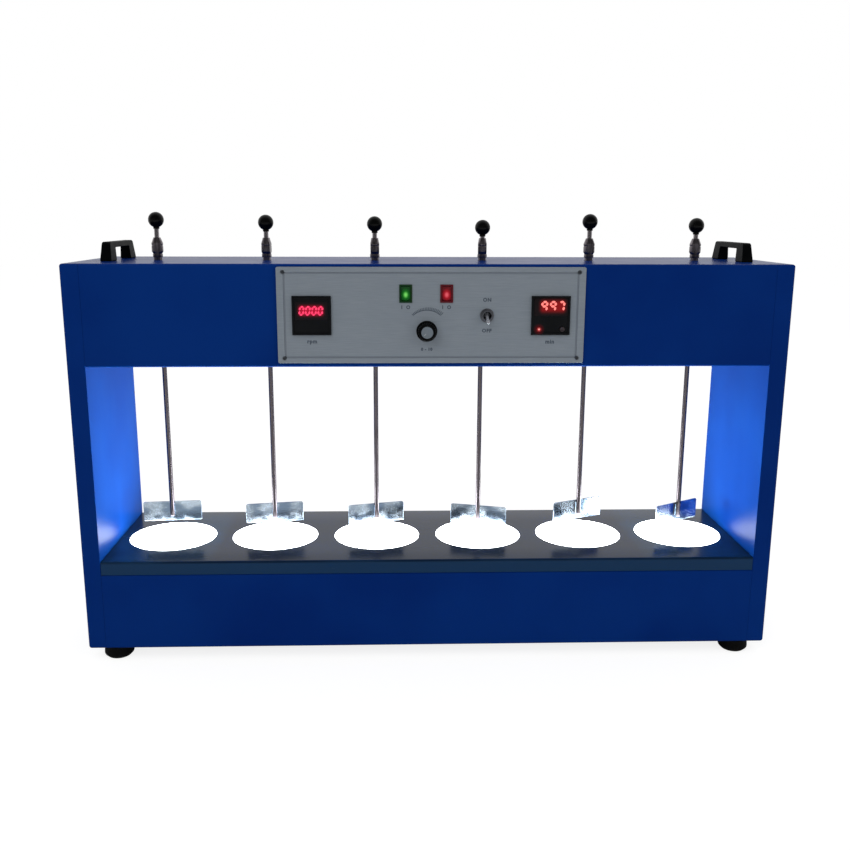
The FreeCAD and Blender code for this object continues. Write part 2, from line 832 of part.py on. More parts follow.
def speed_board():
    """Speed board on four spacers behind the panel, with its control and heat sink."""
    y0 = front + board_stand
    back_face = y0 + board_thickness
    left = dial_x - board_width / 2
    z0, z1 = panel_z - board_height / 2, panel_z + board_height / 2
    whole = box(left, left + board_width, y0, back_face, z0, z1)
    spacer = round_bar(board_spacer, -board_stand, 0, board_spacer_facets)
    for x in (left + board_spacer_inset, left + board_width - board_spacer_inset):
        for z in (z0 + board_spacer_inset, z1 - board_spacer_inset):
            whole = whole.fuse(facing_front(spacer, x, front, z))
    pot = round_bar(pot_diameter, -board_stand, 0, board_spacer_facets * 2)
    well = bore(dial_shaft / math.cos(math.pi / turned_facets) + 2 * running_gap, -dial_shaft_depth - slide_gap, 0)
    whole = whole.fuse(facing_front(pot, dial_x, front, dial_z))
    whole = whole.fuse(box(left, left + sink_width, back_face, back_face + sink_fin, z0, z1))
    for k in range(sink_fins):
        x = left + k * (sink_width - sink_fin) / (sink_fins - 1)
        whole = whole.fuse(box(x, x + sink_fin, back_face, back_face + sink_depth, z0, z1))
    return whole.removeSplitter().cut(facing_front(well, dial_x, front, dial_z))


def carry_handle(side):
    """Moulded bridge handle, front to back on the head, with legs and sides that lean in."""
    x = side * (case_width / 2 - handle_inset)
    y = case_y + handle_shift

    def bridge(base, top, height, radius):
        flat = [(-base / 2, 0), (base / 2, 0), (top / 2, height), (-top / 2, height)]
        corners = [Vector(x - handle_width / 2, y + a, case_top + b) for a, b in flat]
        solid = slab(corners, Vector(handle_width, 0, 0))
        bends = [e for e in solid.Edges if min(v.Z for v in e.Vertexes) > case_top + height / 2]
        ends = [e for e in bends if abs(e.Vertexes[0].Y - e.Vertexes[1].Y) < radius / 10]
        return solid.makeFillet(radius, ends)

    outer = bridge(handle_length, handle_top, handle_height, handle_round)
    opening = bridge(handle_length - 2 * handle_leg, handle_opening_top, handle_height - handle_bar, handle_round / 2)
    half, half_top = handle_width / 2, handle_top_width / 2
    flat = [(-half, 0), (half, 0), (half_top, handle_height), (-half_top, handle_height)]
    corners = [Vector(x + a, y - handle_length / 2, case_top + b) for a, b in flat]
    return outer.cut(opening).common(slab(corners, Vector(0, handle_length, 0)))


def mains_inlet():
    """Three-pin inlet in the back of the base, with its well open to the rear."""
    z = foot_height + inlet_height
    half_w, half_h = inlet_flange_width / 2, inlet_flange_height / 2
    flange = box(inlet_x - half_w, inlet_x + half_w, back, back + inlet_flange, z - half_h, z + half_h)
    half_w, half_h = inlet_body_width / 2, inlet_body_height / 2
    body = box(inlet_x - half_w, inlet_x + half_w, back - inlet_depth, back, z - half_h, z + half_h)
    w, h, c = inlet_well_width / 2, inlet_well_height / 2, inlet_chamfer
    bottom = back + inlet_flange - inlet_well_depth
    flat = [(-w, -h), (w, -h), (w, h - c), (w - c, h), (c - w, h), (-w, h - c)]
    well = slab([Vector(inlet_x + a, bottom, z + b) for a, b in flat], Vector(0, inlet_well_depth, 0))
    whole = flange.fuse(body).removeSplitter().cut(well)
    for k, rise in ((-1, -1), (0, 1), (1, -1)):
        x, pin_z = inlet_x + k * pin_pitch, z + rise * pin_width / 2
        half_t, half_p = pin_thickness / 2, pin_width / 2
        pin = box(x - half_t, x + half_t, bottom, bottom + pin_length, pin_z - half_p, pin_z + half_p)
        whole = whole.fuse(pin)
    return whole.removeSplitter()


def build():
    os.makedirs("parts", exist_ok=True)
    save(head_shell(), "head_shell")
    save(head_floor(), "head_floor")
    save(side_panel(-1), "side_panel_left")
    save(side_panel(1), "side_panel_right")
    save(base_shell(), "base_shell")
    save(deck_plate(), "deck_plate")
    save(light_windows(), "light_windows")
    save(lamp_strips(), "lamp_strips")
    save(lamp_driver(), "lamp_driver")
    save(rubber_feet(), "rubber_feet")
    save(gear_plate(), "gear_plate")
    save(spindle_bearings(), "spindle_bearings")
    save(drive_motor(), "drive_motor")
    save(motor_pinion(), "motor_pinion")
    for i in range(station_count):
        number = str(i + 1)
        save(spindle(i), "spindle_" + number)
        save(drive_gear(i), "drive_gear_" + number)
        save(chuck(i), "chuck_" + number)
        save(stirrer(i), "stirrer_" + number)
        save(lift_knob(i), "lift_knob_" + number)
    save(control_panel(), "control_panel")
    save(display_housing(display_x[0]), "speed_display")
    save(timer_display(), "timer_display")
    save(timer_key(key_spots()[0]), "timer_key_left")
    save(timer_key(key_spots()[1]), "timer_key_right")
    save(rocker_housings(), "rocker_housings")
    save(rocker(green_rocker_x), "green_rocker")
    save(rocker(red_rocker_x), "red_rocker")
    save(speed_knob(), "speed_knob")
    save(knob_cap(), "knob_cap")
    save(toggle_bushing(), "toggle_bushing")
    save(toggle_lever(), "toggle_lever")
    save(speed_board(), "speed_board")
    save(carry_handle(-1), "carry_handle_left")
    save(carry_handle(1), "carry_handle_right")
    save(mains_inlet(), "mains_inlet")


build()
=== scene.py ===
from math import asin, cos, degrees, pi, radians, sin, sqrt

import bmesh
import bpy
from mathutils import Matrix, Vector


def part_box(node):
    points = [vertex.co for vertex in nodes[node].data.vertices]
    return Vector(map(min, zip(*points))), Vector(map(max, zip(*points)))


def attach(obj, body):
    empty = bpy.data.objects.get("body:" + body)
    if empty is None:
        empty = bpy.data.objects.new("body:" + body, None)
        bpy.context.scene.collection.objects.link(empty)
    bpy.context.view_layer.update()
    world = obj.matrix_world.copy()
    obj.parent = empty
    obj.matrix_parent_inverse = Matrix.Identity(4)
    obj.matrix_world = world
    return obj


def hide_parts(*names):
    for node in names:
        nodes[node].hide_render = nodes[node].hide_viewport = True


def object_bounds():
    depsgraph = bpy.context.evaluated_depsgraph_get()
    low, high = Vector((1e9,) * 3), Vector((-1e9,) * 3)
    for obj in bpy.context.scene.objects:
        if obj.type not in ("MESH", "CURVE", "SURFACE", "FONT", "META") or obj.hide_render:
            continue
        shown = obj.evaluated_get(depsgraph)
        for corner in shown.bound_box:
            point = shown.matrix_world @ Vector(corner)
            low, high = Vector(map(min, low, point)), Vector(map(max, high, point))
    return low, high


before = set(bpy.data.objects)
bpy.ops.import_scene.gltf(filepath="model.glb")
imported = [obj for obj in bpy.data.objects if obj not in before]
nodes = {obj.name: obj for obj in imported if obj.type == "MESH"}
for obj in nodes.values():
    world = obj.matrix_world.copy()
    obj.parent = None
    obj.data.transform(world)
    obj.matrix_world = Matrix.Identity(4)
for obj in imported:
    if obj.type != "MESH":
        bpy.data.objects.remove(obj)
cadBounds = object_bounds()
mm = 0.001
scene = bpy.context.scene


# node trees: wires, and the sums, ramps and colours made with them

class Wire:
    # one socket of a node tree: sums on wires add Math nodes, node() adds any other node

    def __init__(self, tree, socket=None):
        self.tree, self.socket = tree, socket

    def node(self, kind, sockets=None, output=0, **settings):
        made = self.tree.nodes.new(kind)
        for key, value in settings.items():
            setattr(made, key, value)
        for key, value in (sockets or {}).items():
            if isinstance(value, Wire):
                self.tree.links.new(value.socket, made.inputs[key])
            else:
                made.inputs[key].default_value = value
        return Wire(self.tree, made.outputs[output] if made.outputs else None)

    def maths(self, operation, *values):
        return self.node("ShaderNodeMath", dict(enumerate(values or (self,))), operation=operation)

    def axis(self, name):
        return self.node("ShaderNodeSeparateXYZ", {0: self}, name)

    def vector(self, **parts):
        return self.node("ShaderNodeCombineXYZ", parts)

    def shifted(self, **parts):
        return self.node("GeometryNodeSetPosition", {"Geometry": self, "Position": self.vector(**parts)})

    def copies(self, item, **more):
        return self.node("GeometryNodeInstanceOnPoints", {"Points": self, "Instance": item, **more})


def asOperator(operation, turned):
    return lambda self, other: self.maths(operation, *((other, self) if turned else (self, other)))


for word, operation in (("add", "ADD"), ("sub", "SUBTRACT"), ("mul", "MULTIPLY"), ("truediv", "DIVIDE"),
                        ("pow", "POWER")):
    setattr(Wire, "__" + word + "__", asOperator(operation, False))
    setattr(Wire, "__r" + word + "__", asOperator(operation, True))


def larger(first, second):
    return first.maths("MAXIMUM", first, second)


def ramped(wire, low, high, start=0.0, end=1.0):
    return wire.node("ShaderNodeMapRange", {"Value": wire, "From Min": low, "From Max": high, "To Min": start,
                                            "To Max": end}, interpolation_type="SMOOTHSTEP")


def tone(colour):
    # screen values 0-255 to the linear colour that a socket takes
    return [v / 12.92 if v <= 0.04045 else ((v + 0.055) / 1.055) ** 2.4 for v in (c / 255 for c in colour)]


def mixTone(share, first, second):
    first, second = (c if isinstance(c, Wire) else (*tone(c), 1) for c in (first, second))
    return share.node("ShaderNodeMix", {0: share, 6: first, 7: second}, 2, data_type="RGBA")


def emptied(owner):
    owner.use_nodes = True
    owner.node_tree.nodes.clear()
    return Wire(owner.node_tree)


def placed(name, data):
    thing = bpy.data.objects.new(name, data)
    scene.collection.objects.link(thing)
    return thing


# camera, lamps, world and floor

cameraView = {
    "place": (-0.046224, -1.177708, 0.547352),
    "pitch": -12.433, "yaw": -1.769, "roll": -0.168,
    "focalPixels": 928.144, "frameWidth": 850, "offCentre": (-4.628, -3.540), "sensor": 36,
}


def addCamera(settings):
    pitch, yaw, roll = (radians(settings[key]) for key in ("pitch", "yaw", "roll"))
    right = Vector((cos(yaw), sin(yaw), 0))
    ahead = Vector((-sin(yaw) * cos(pitch), cos(yaw) * cos(pitch), sin(pitch)))
    up = right.cross(ahead)
    side = right * cos(roll) - up * sin(roll)
    top = right * sin(roll) + up * cos(roll)
    data = bpy.data.cameras.new("camera")
    data.sensor_width = settings["sensor"]
    data.lens = settings["focalPixels"] / settings["frameWidth"] * settings["sensor"]
    data.shift_x = -settings["offCentre"][0] / settings["frameWidth"]
    data.shift_y = settings["offCentre"][1] / settings["frameWidth"]
    data.clip_start, data.clip_end = 0.05, 60
    scene.camera = placed("camera", data)
    turn = Matrix((side, top, -ahead)).transposed().to_4x4()
    scene.camera.matrix_world = Matrix.Translation(settings["place"]) @ turn


studio = {
    "ambient": 0.62,
    "frontShine": 0.12, "backShine": 1.0,  # how much of the white surroundings shiny surfaces show
    "floorHalf": 9, "floorShare": 0.68, "floorGlow": 1.22,
    "keyWatts": 34, "keyPlace": (-1.5, -2.4, 2.3), "keySize": 2.2,
    "fillWatts": 14, "fillPlace": (2.2, -1.6, 1.5), "fillSize": 1.8,
    "backWatts": 16, "backPlace": (0.4, 2.6, 2.2), "backSize": 2.0,
    "bayWatts": 4.8, "bayTint": (0.62, 1.0, 0.8), "bayPlace": (0.20, 0.006, 0.17),
    "bayTurn": (0.50, 0, 0.866), "baySize": (0.16, 0.04),
}


def addStudio(settings):
    world = bpy.data.worlds.new("studio")
    scene.world = world
    start = emptied(world)
    seen, glossy, through = (start.node("ShaderNodeLightPath", output="Is " + ray + " Ray")
                             for ray in ("Camera", "Glossy", "Transmission"))
    depth = start.node("ShaderNodeTexCoord", output="Generated").axis("Y")
    shine = larger(ramped(depth, -0.5, 0.35, settings["frontShine"], settings["backShine"]), seen)
    white, plain = (start.node("ShaderNodeBackground", {"Color": (1, 1, 1, 1), "Strength": strength})
                    for strength in (shine, settings["ambient"]))
    shown = larger(larger(seen, glossy), through)
    mixed = start.node("ShaderNodeMixShader", {0: shown, 1: plain, 2: white})
    start.node("ShaderNodeOutputWorld", {"Surface": mixed})

    def hang(name, watts, place, aim, size, tint=(1, 1, 1)):
        lamp = bpy.data.lights.new(name, "AREA")
        lamp.energy, lamp.color, lamp.shape = watts, tint, "RECTANGLE"
        lamp.size, lamp.size_y = size
        holder = placed(name, lamp)
        holder.location = place
        holder.rotation_euler = Vector(aim).to_track_quat("-Z", "Y").to_euler()
        holder.visible_glossy = holder.visible_camera = False

    for key in ("key", "fill", "back"):
        place, size = Vector(settings[key + "Place"]), settings[key + "Size"]
        hang(key + "Lamp", settings[key + "Watts"], place, Vector((0, 0, 0.25)) - place, (size, size))
    for side in (-1, 1):  # the end windows' light on the inner walls
        (x, y, z), (a, b, c) = settings["bayPlace"], settings["bayTurn"]
        hang("bayLamp", settings["bayWatts"], (side * x, y, z), (side * a, b, c), settings["baySize"],
             settings["bayTint"])

    mesh = bpy.data.meshes.new("floor")
    half = settings["floorHalf"]
    corners = [(-half, -half, 0), (half, -half, 0), (half, half, 0), (-half, half, 0)]
    mesh.from_pydata(corners, [], [(0, 1, 2, 3)])
    floor = placed("floor", mesh)
    paper = bpy.data.materials.new("paperFloor")
    start = emptied(paper)
    place = start.node("ShaderNodeTexCoord", output="Object")
    seen = start.node("ShaderNodeLightPath", output="Is Camera Ray")
    grain = start.node("ShaderNodeTexNoise", {"Vector": place, "Scale": 60.0})
    pale = start.node("ShaderNodeMix", {0: grain, 6: (0.84, 0.84, 0.84, 1), 7: (0.88, 0.88, 0.88, 1)}, 2,
                      data_type="RGBA")
    matte = start.node("ShaderNodeBsdfDiffuse", {"Color": pale})
    glow = start.node("ShaderNodeEmission", {"Color": (1, 1, 1, 1), "Strength": settings["floorGlow"]})
    mixed = start.node("ShaderNodeMixShader", {0: seen * settings["floorShare"], 1: matte, 2: glow})
    start.node("ShaderNodeOutputMaterial", {"Surface": mixed})
    mesh.materials.append(paper)


addCamera(cameraView)
addStudio(studio)
scene.view_settings.view_transform = "Standard"
print("camera, lamps and floor set")


# finishes: a recipe gives what varies over the surface, the short names below hold plain values

plainSockets = {
    "metal": "Metallic", "shine": "Specular IOR Level", "glow": "Emission Strength",
    "coatRough": "Coat Roughness", "inner": "Subsurface Weight", "innerReach": "Subsurface Radius",
}


def makeFinish(name, recipe, **plain):
    material = bpy.data.materials.new(name)
    material.use_nodes = True
    tree = material.node_tree
    shader = tree.nodes["Principled BSDF"]
    for key, value in plain.items():
        shader.inputs[plainSockets[key]].default_value = value
    for key, wire in recipe(Wire(tree).node("ShaderNodeTexCoord", output="Object")).items():
        tree.links.new(wire.socket, shader.inputs[key])
    return material


def recipe(rule):
    # called with its values, a rule waits for the place that is shaded
    return lambda *values: lambda place: rule(place, *values)


def noise(place, size, detail=2.0, stretch=None):
    # size is the width of one blotch in metres, stretch lengthens it along x, y or z
    if stretch:
        place = place.node("ShaderNodeMapping", {"Vector": place, "Scale": [1 / s for s in stretch]})
    return place.node("ShaderNodeTexNoise", {"Vector": place, "Scale": 1 / size, "Detail": detail})


def raised(height, depth, strength=1.0):
    return height.node("ShaderNodeBump", {"Height": height, "Distance": depth, "Strength": strength})


def centred(place, centre):
    return place.node("ShaderNodeMapping", {"Vector": place, "Location": [-v for v in centre]})


def lengthOf(wire):
    return wire.node("ShaderNodeVectorMath", {0: wire}, "Value", operation="LENGTH")


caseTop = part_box("head_shell")[1].z
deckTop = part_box("deck_plate")[1].z


@recipe
def enamel(place, dark, light, gloss, peel):
    # the case's top, seen flat, shows the paint's gloss; the other faces stay deep in tone
    colour = mixTone(ramped(noise(place, 0.16, 3), 0.3, 0.7), dark, light)
    return {
        "Base Color": mixTone(ramped(noise(place, 0.0016, 3), 0.62, 0.8) * 0.12, colour, light),
        "Roughness": gloss + noise(place, 0.03, 4, (1, 1, 2.5)) * 0.10,
        "Coat Weight": ramped(place.axis("Z"), caseTop - 0.002, caseTop - 0.0005) * 0.10,
        "Normal": raised(noise(place, 0.0022, 2), peel, 0.5),
    }


@recipe
def moulded(place, dark, light, gloss, grain):
    pebble = noise(place, 0.0006, 2)
    wear = noise(place, 0.02, 3)
    return {
        "Base Color": mixTone(ramped(wear, 0.35, 0.75), dark, light),
        "Roughness": gloss + wear * 0.14 + pebble * 0.06,
        "Normal": raised(pebble, grain, 0.6),
    }


@recipe
def brushed(place, dark, light, gloss, stretch, line=0.0003):
    grain = noise(place, line, 3, stretch)
    cloud = noise(place, 0.03, 2)
    colour = mixTone(ramped(grain, 0.25, 0.75), dark, light)
    return {
        "Base Color": mixTone(ramped(cloud, 0.35, 0.8) * 0.3, colour, dark),
        "Roughness": gloss + grain * 0.14 + cloud * 0.06,
        "Normal": raised(grain, 0.00002, 0.5),
    }


@recipe
def patchyReflection(place, dark, light, gloss):
    # rolled sheet with fine upright brush lines, and cloudy darker patches that are painted reflection in the
    # steel
    line = noise(place, 0.0003, 3, (1, 1, 40))
    # painted reflection: cloudy dark and light patches stand in for what the steel mirrors
    reflectionPatch = ramped(noise(place, 0.014, 4, (1.6, 1, 1)), 0.38, 0.62)
    return {
        "Base Color": mixTone(ramped(line, 0.3, 0.75) * 0.35, mixTone(reflectionPatch, dark, light), dark),
        "Roughness": gloss + line * 0.1 + reflectionPatch * 0.08,
        "Normal": raised(line, 0.00002, 0.5),
    }


@recipe
def deckFace(place, dark, light, lipReflectionTone, dustTone):
    # smears, dust and scratches on gloss black, with a painted reflection that makes the front lip bluer
    smear = noise(place, 0.05, 5, (1.6, 1, 1))
    scratch = ramped(noise(place, 0.0025, 2, (26, 3, 1)), 0.70, 0.76)
    # painted reflection: the front lip of the same black sheet gets a bluer, lighter tone than the top
    lip = ramped(place.axis("Z"), deckTop - 0.001, deckTop - 0.004)
    colour = mixTone(lip, mixTone(ramped(smear, 0.35, 0.75), dark, light), lipReflectionTone)
    return {
        "Base Color": mixTone(ramped(noise(place, 0.0009, 2), 0.68, 0.8) * 0.25, colour, dustTone),
        "Roughness": 0.16 + smear * 0.14 + scratch * 0.15,
        "Normal": raised(smear + scratch * 0.3, 0.00004, 0.4),
    }


@recipe
def opalFace(place, dark, light, dimGlow, fullGlow):
    cloud = noise(place, 0.06, 2)
    return {
        "Base Color": mixTone(cloud, dark, light),
        "Emission Color": mixTone(cloud, dimGlow, fullGlow),
        "Roughness": 0.30 + noise(place, 0.004, 2) * 0.1,
    }


@recipe
def litLens(place, centre, reach, dark, mid, hot):
    # a coloured lens whose lamp shows as a soft spot behind it
    local = centred(place, centre)
    wide, tall = local.axis("X") / reach[0], local.axis("Z") / reach[1]
    away = (wide * wide + tall * tall) ** 0.5
    glow = mixTone(ramped(away, 1.9, 0.5), (0, 0, 0), mid)
    return {
        "Base Color": mixTone(noise(place, 0.004, 2) * 0.2, dark, mid),
        "Emission Color": mixTone(ramped(away, 1.0, 0.1), glow, hot),
        "Roughness": 0.2 + noise(place, 0.002, 2) * 0.12,
    }


def digitSpill(place, centre, half, spill, halo):
    # red light round lit digits, full within half and gone at spill past it
    local = centred(place, centre)
    past = [larger(local.axis(name).maths("ABSOLUTE") - reach, 0.0) for name, reach in zip("XZ", half)]
    away = (past[0] * past[0] + past[1] * past[1]) ** 0.5
    return mixTone(ramped(away, spill, 0.0) ** 3, (0, 0, 0), halo)


@recipe
def digitGlass(place, *lamp):
    return {
        "Base Color": mixTone(noise(place, 0.01, 2), (12, 6, 9), (18, 7, 11)),
        "Emission Color": digitSpill(place, *lamp),
        "Roughness": 0.1 + noise(place, 0.008, 3) * 0.12,
    }


@recipe
def meterBezel(place, keySpot, *lamp):
    # black bezel that catches some of the digits' light, and of the lit key's where it has one
    made = darkBezel(place)
    made["Emission Color"] = digitSpill(place, *lamp)
    if keySpot:
        near = ramped(lengthOf(centred(place, keySpot)), 0.0075, 0.002)
        made["Emission Color"] = mixTone(near, made["Emission Color"], (74, 2, 8))
    return made


@recipe
def spun(place, centre, dark, light, gloss):
    # turned face with fine rings round an axis that points to the front
    local = centred(place, centre)
    flat = local.node("ShaderNodeVectorMath", {0: local, 1: (1, 0, 1)}, operation="MULTIPLY")
    out = lengthOf(flat) * 4200
    ring = local.node("ShaderNodeTexNoise", {"W": out, "Detail": 2.0}, noise_dimensions="1D")
    return {
        "Base Color": mixTone(ramped(ring, 0.3, 0.7), dark, light),
        "Roughness": gloss + ring * 0.15,
        "Normal": raised(ring, 0.00002, 0.5),
    }


@recipe
def drawnRod(place, dark, light, end, gloss):
    # long polish marks down a rod, with faint rings where it slides, and painted light that makes the end
    # above the head brighter than the rod in the bay's shade
    line = noise(place, 0.0004, 3, (1, 1, 60))
    band = noise(place, 0.012, 3, (6, 6, 1))
    # painted light: the rod is lighter above the head and darker below it, where the head shades it
    paintedLitEnd = ramped(place.axis("Z"), 0.48, 0.51)
    return {
        "Base Color": mixTone(paintedLitEnd * 0.8, mixTone(ramped(line, 0.3, 0.7), dark, light), end),
        "Roughness": gloss + line * 0.1 + ramped(band, 0.5, 0.8) * 0.12,
        "Normal": raised(line, 0.00001, 0.5),
    }


@recipe
def inked(place, dark, light):
    return {
        "Base Color": mixTone(noise(place, 0.0008, 2), dark, light),
        "Roughness": 0.5 + noise(place, 0.001, 2) * 0.2,
    }


@recipe
def glowing(place, low, high):
    return {
        "Base Color": mixTone(noise(place, 0.001, 1), low, high),
        "Emission Color": mixTone(noise(place, 0.003, 1), low, high),
    }


@recipe
def board(place, ground, track):
    copper = ramped(noise(place, 0.0022, 1, (5, 1, 1)), 0.52, 0.55)
    return {
        "Base Color": mixTone(copper, ground, track),
        "Roughness": 0.4 + copper * 0.1,
        "Normal": raised(copper, 0.00003, 0.5),
    }


darkBezel = moulded((6, 8, 11), (11, 13, 16), 0.34, 0.00001)
bluePaint = makeFinish("blueEnamel", enamel((3, 34, 96), (5, 41, 105), 0.26, 0.000012),
                       shine=0.015, coatRough=0.12)
# the third colour is the painted blue reflection on the deck's front lip
deckBlack = makeFinish("deckGlossBlack", deckFace((6, 26, 46), (12, 38, 62), (4, 42, 74), (92, 104, 118)),
                       shine=0.15)
anodised = makeFinish("anodisedPlate", brushed((112, 121, 130), (125, 133, 141), 0.38, (60, 1, 1)), metal=0.2)
opal = makeFinish("litOpal", opalFace((236, 240, 242), (246, 248, 248), (246, 250, 255), (255, 255, 255)),
                  glow=14.0)
blackPlastic = makeFinish("grainedBlackPlastic", moulded((2, 3, 4), (7, 8, 9), 0.42, 0.00003), shine=0.06)
phenolic = makeFinish("phenolicBall", moulded((3, 3, 3), (6, 6, 6), 0.18, 0.000004), shine=0.15)
rubber = makeFinish("footRubber", moulded((3, 3, 4), (7, 7, 7), 0.62, 0.00005), shine=0.1)
# the blade's two tones are the dark and light of its painted reflection
bladeSteel = makeFinish("brushedBladeSteel", patchyReflection((132, 152, 172), (206, 220, 230), 0.1), metal=1.0)
# the third colour is the painted light on the rod's end above the head
rodSteel = makeFinish("polishedRodSteel", drawnRod((86, 80, 83), (112, 106, 110), (176, 170, 174), 0.18),
                      metal=1.0)
chuckSteel = makeFinish(
    "blackenedChuckSteel", brushed((84, 79, 82), (148, 141, 145), 0.2, (1, 1, 12), 0.0016), metal=1.0)
chrome = makeFinish("switchChrome", brushed((158, 160, 168), (186, 188, 196), 0.16, (1, 1, 3), 0.001),
                    metal=0.6)
nickel = makeFinish("nutNickel", brushed((86, 88, 94), (116, 118, 124), 0.2, (1, 1, 3), 0.001), metal=1.0)
zinc = makeFinish("zincPlate", brushed((150, 152, 150), (182, 184, 182), 0.32, (10, 1, 1), 0.002), metal=1.0)
aluminium = makeFinish("drawnAluminium", brushed((176, 178, 180), (200, 202, 204), 0.3, (40, 1, 1)),
                       metal=1.0)
brass = makeFinish("bushBrass", brushed((150, 118, 62), (178, 146, 84), 0.26, (1, 1, 8)), metal=1.0)
nylon = makeFinish("gearNylon", moulded((214, 210, 194), (226, 223, 210), 0.42, 0.00002),
                   inner=0.1, innerReach=(0.002, 0.002, 0.0015))
motorGrey = makeFinish("motorGreyPaint", enamel((74, 77, 82), (88, 91, 96), 0.34, 0.00004))
driverWhite = makeFinish("driverWhitePlastic", moulded((206, 206, 200), (218, 218, 213), 0.46, 0.00003))
circuit = makeFinish("speedBoardGreen", board((14, 70, 40), (26, 96, 56)))
screwBlack = makeFinish("blackenedScrew", brushed((56, 60, 66), (80, 84, 90), 0.34, (1, 1, 4)), metal=0.6)
panelInk = makeFinish("panelInk", inked((48, 58, 70), (62, 72, 84)))
ruleInk = makeFinish("ruleInk", inked((92, 100, 110), (102, 110, 119)))
pointerInk = makeFinish("pointerInk", inked((134, 140, 144), (146, 152, 156)))
print("finishes mixed")


# shaping helpers: outlines, profiles and slabs are in millimetres, places in metres

def middle(node):
    low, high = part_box(node)
    return [(a + b) / 2 for a, b in zip(low, high)]


def meshed(shape, mesh=None):
    mesh = mesh or bpy.data.meshes.new("shape")
    shape.to_mesh(mesh)
    shape.free()
    return mesh


def newMesh(points, faces):
    mesh = bpy.data.meshes.new("shape")
    mesh.from_pydata([[v * mm for v in point] for point in points], [], faces)
    shape = bmesh.new()
    shape.from_mesh(mesh)
    bmesh.ops.remove_doubles(shape, verts=shape.verts, dist=1e-7)
    bmesh.ops.recalc_face_normals(shape, faces=shape.faces)
    return meshed(shape, mesh)


def baked(thing):
    graph = bpy.context.evaluated_depsgraph_get()
    shown = thing.evaluated_get(graph)
    mesh = bpy.data.meshes.new_from_object(shown, preserve_all_data_layers=True, depsgraph=graph)
    bpy.data.objects.remove(thing)
    return mesh


def smoothed(mesh, angle):
    mesh.polygons.foreach_set("use_smooth", [True] * len(mesh.polygons))
    mesh.set_sharp_from_angle(angle=radians(angle))


def arc(radius, angles, x=0, y=0):
    return [(x + radius * cos(a), y + radius * sin(a)) for a in map(radians, angles)]


def hoop(low, high, count):
    # quads between the rings of points that start at low and at high
    return [[low + k, low + (k + 1) % count, high + (k + 1) % count, high + k] for k in range(count)]


def eased(outline, radius, steps=4):
    # rounds the inner corners of an open outline of (a, b) points
    made = [outline[0]]
    for before, corner, after in zip(outline, outline[1:], outline[2:]):
        corner = Vector(corner)
        one, two = Vector(before) - corner, Vector(after) - corner
        cut = min(radius, one.length * 0.45, two.length * 0.45)
        first, last = corner + one.normalized() * cut, corner + two.normalized() * cut
        for k in range(steps + 1):
            t = k / steps
            made.append(tuple(first * (1 - t) ** 2 + corner * 2 * t * (1 - t) + last * t * t))
    return made + [outline[-1]]


def lathe(profile, sides=48, hollow=False):
    # turns (radius, height) points round the z axis; hollow joins the profile's ends, without caps
    points, rings, faces = [], [], []
    for radius, height in profile:
        count = sides if radius > 1e-4 else 1
        rings.append([len(points) + k % count for k in range(sides)])
        points += [(x, y, height) for x, y in arc(radius, [360 * k / sides for k in range(count)])]
    for low, high in zip(rings, rings[1:] + rings[:hollow]):
        for k in range(sides):
            n = (k + 1) % sides
            corners = list(dict.fromkeys((low[k], low[n], high[n], high[k])))
            if len(corners) > 2:
                faces.append(corners)
    faces += [ring for ring in (rings[0], rings[-1]) if not hollow and len(set(ring)) > 2]
    return newMesh(points, faces)


def slab(outline, thickness, ring=None):
    # closed plate from a flat outline in x and z, its front at y = 0; ring is an inner outline to leave open
    count = len(outline)
    points = [(a, y, b) for loop in (outline, ring or ()) for y in (0, thickness) for a, b in loop]
    faces = hoop(0, count, count)
    if ring:
        faces += hoop(2 * count, 3 * count, count) + hoop(0, 2 * count, count) + hoop(count, 3 * count, count)
    else:
        faces += [list(range(count)), list(range(count, 2 * count))]
    return newMesh(points, faces)


def roundedBox(width, height, radius, steps=5):
    outline = []
    for turn, (i, j) in enumerate(((1, 1), (-1, 1), (-1, -1), (1, -1))):
        outline += arc(radius, [90 * (turn + k / steps) for k in range(steps + 1)],
                       i * (width / 2 - radius), j * (height / 2 - radius))
    return outline


def moved(mesh, x=0.0, y=0.0, z=0.0, turn=None):
    if turn:
        mesh.transform(turn)
    mesh.transform(Matrix.Translation((x, y, z)))
    return mesh


def turned(angle, axis):
    return Matrix.Rotation(radians(angle), 4, axis)


toFront = turned(90, "X")  # a turning's top end then points out of the front


def joined(*parts):
    shape = bmesh.new()
    for part in parts:
        shape.from_mesh(part)
    return meshed(shape)


def addPiece(name, mesh, finish, stoodFor=(), body="case", angle=30):
    piece = placed(name, mesh)
    mesh.name = name
    if finish:
        mesh.materials.clear()
        mesh.materials.append(finish)
    smoothed(mesh, angle)
    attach(piece, body)
    if stoodFor:
        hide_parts(*stoodFor)
    return piece


def bevelled(piece, width, segments=3, angle=28, weighted=False):
    edge = piece.modifiers.new("softEdges", "BEVEL")
    edge.width, edge.segments = width * mm, segments
    edge.limit_method = "WEIGHT" if weighted else "ANGLE"
    edge.angle_limit = radians(angle)
    edge.harden_normals = True
    edge.use_clamp_overlap = not weighted
    if weighted:
        # broad flat faces keep one shade up to their rounded rims
        even = piece.modifiers.new("evenShade", "WEIGHTED_NORMAL")
        even.weight, even.keep_sharp = 100, True


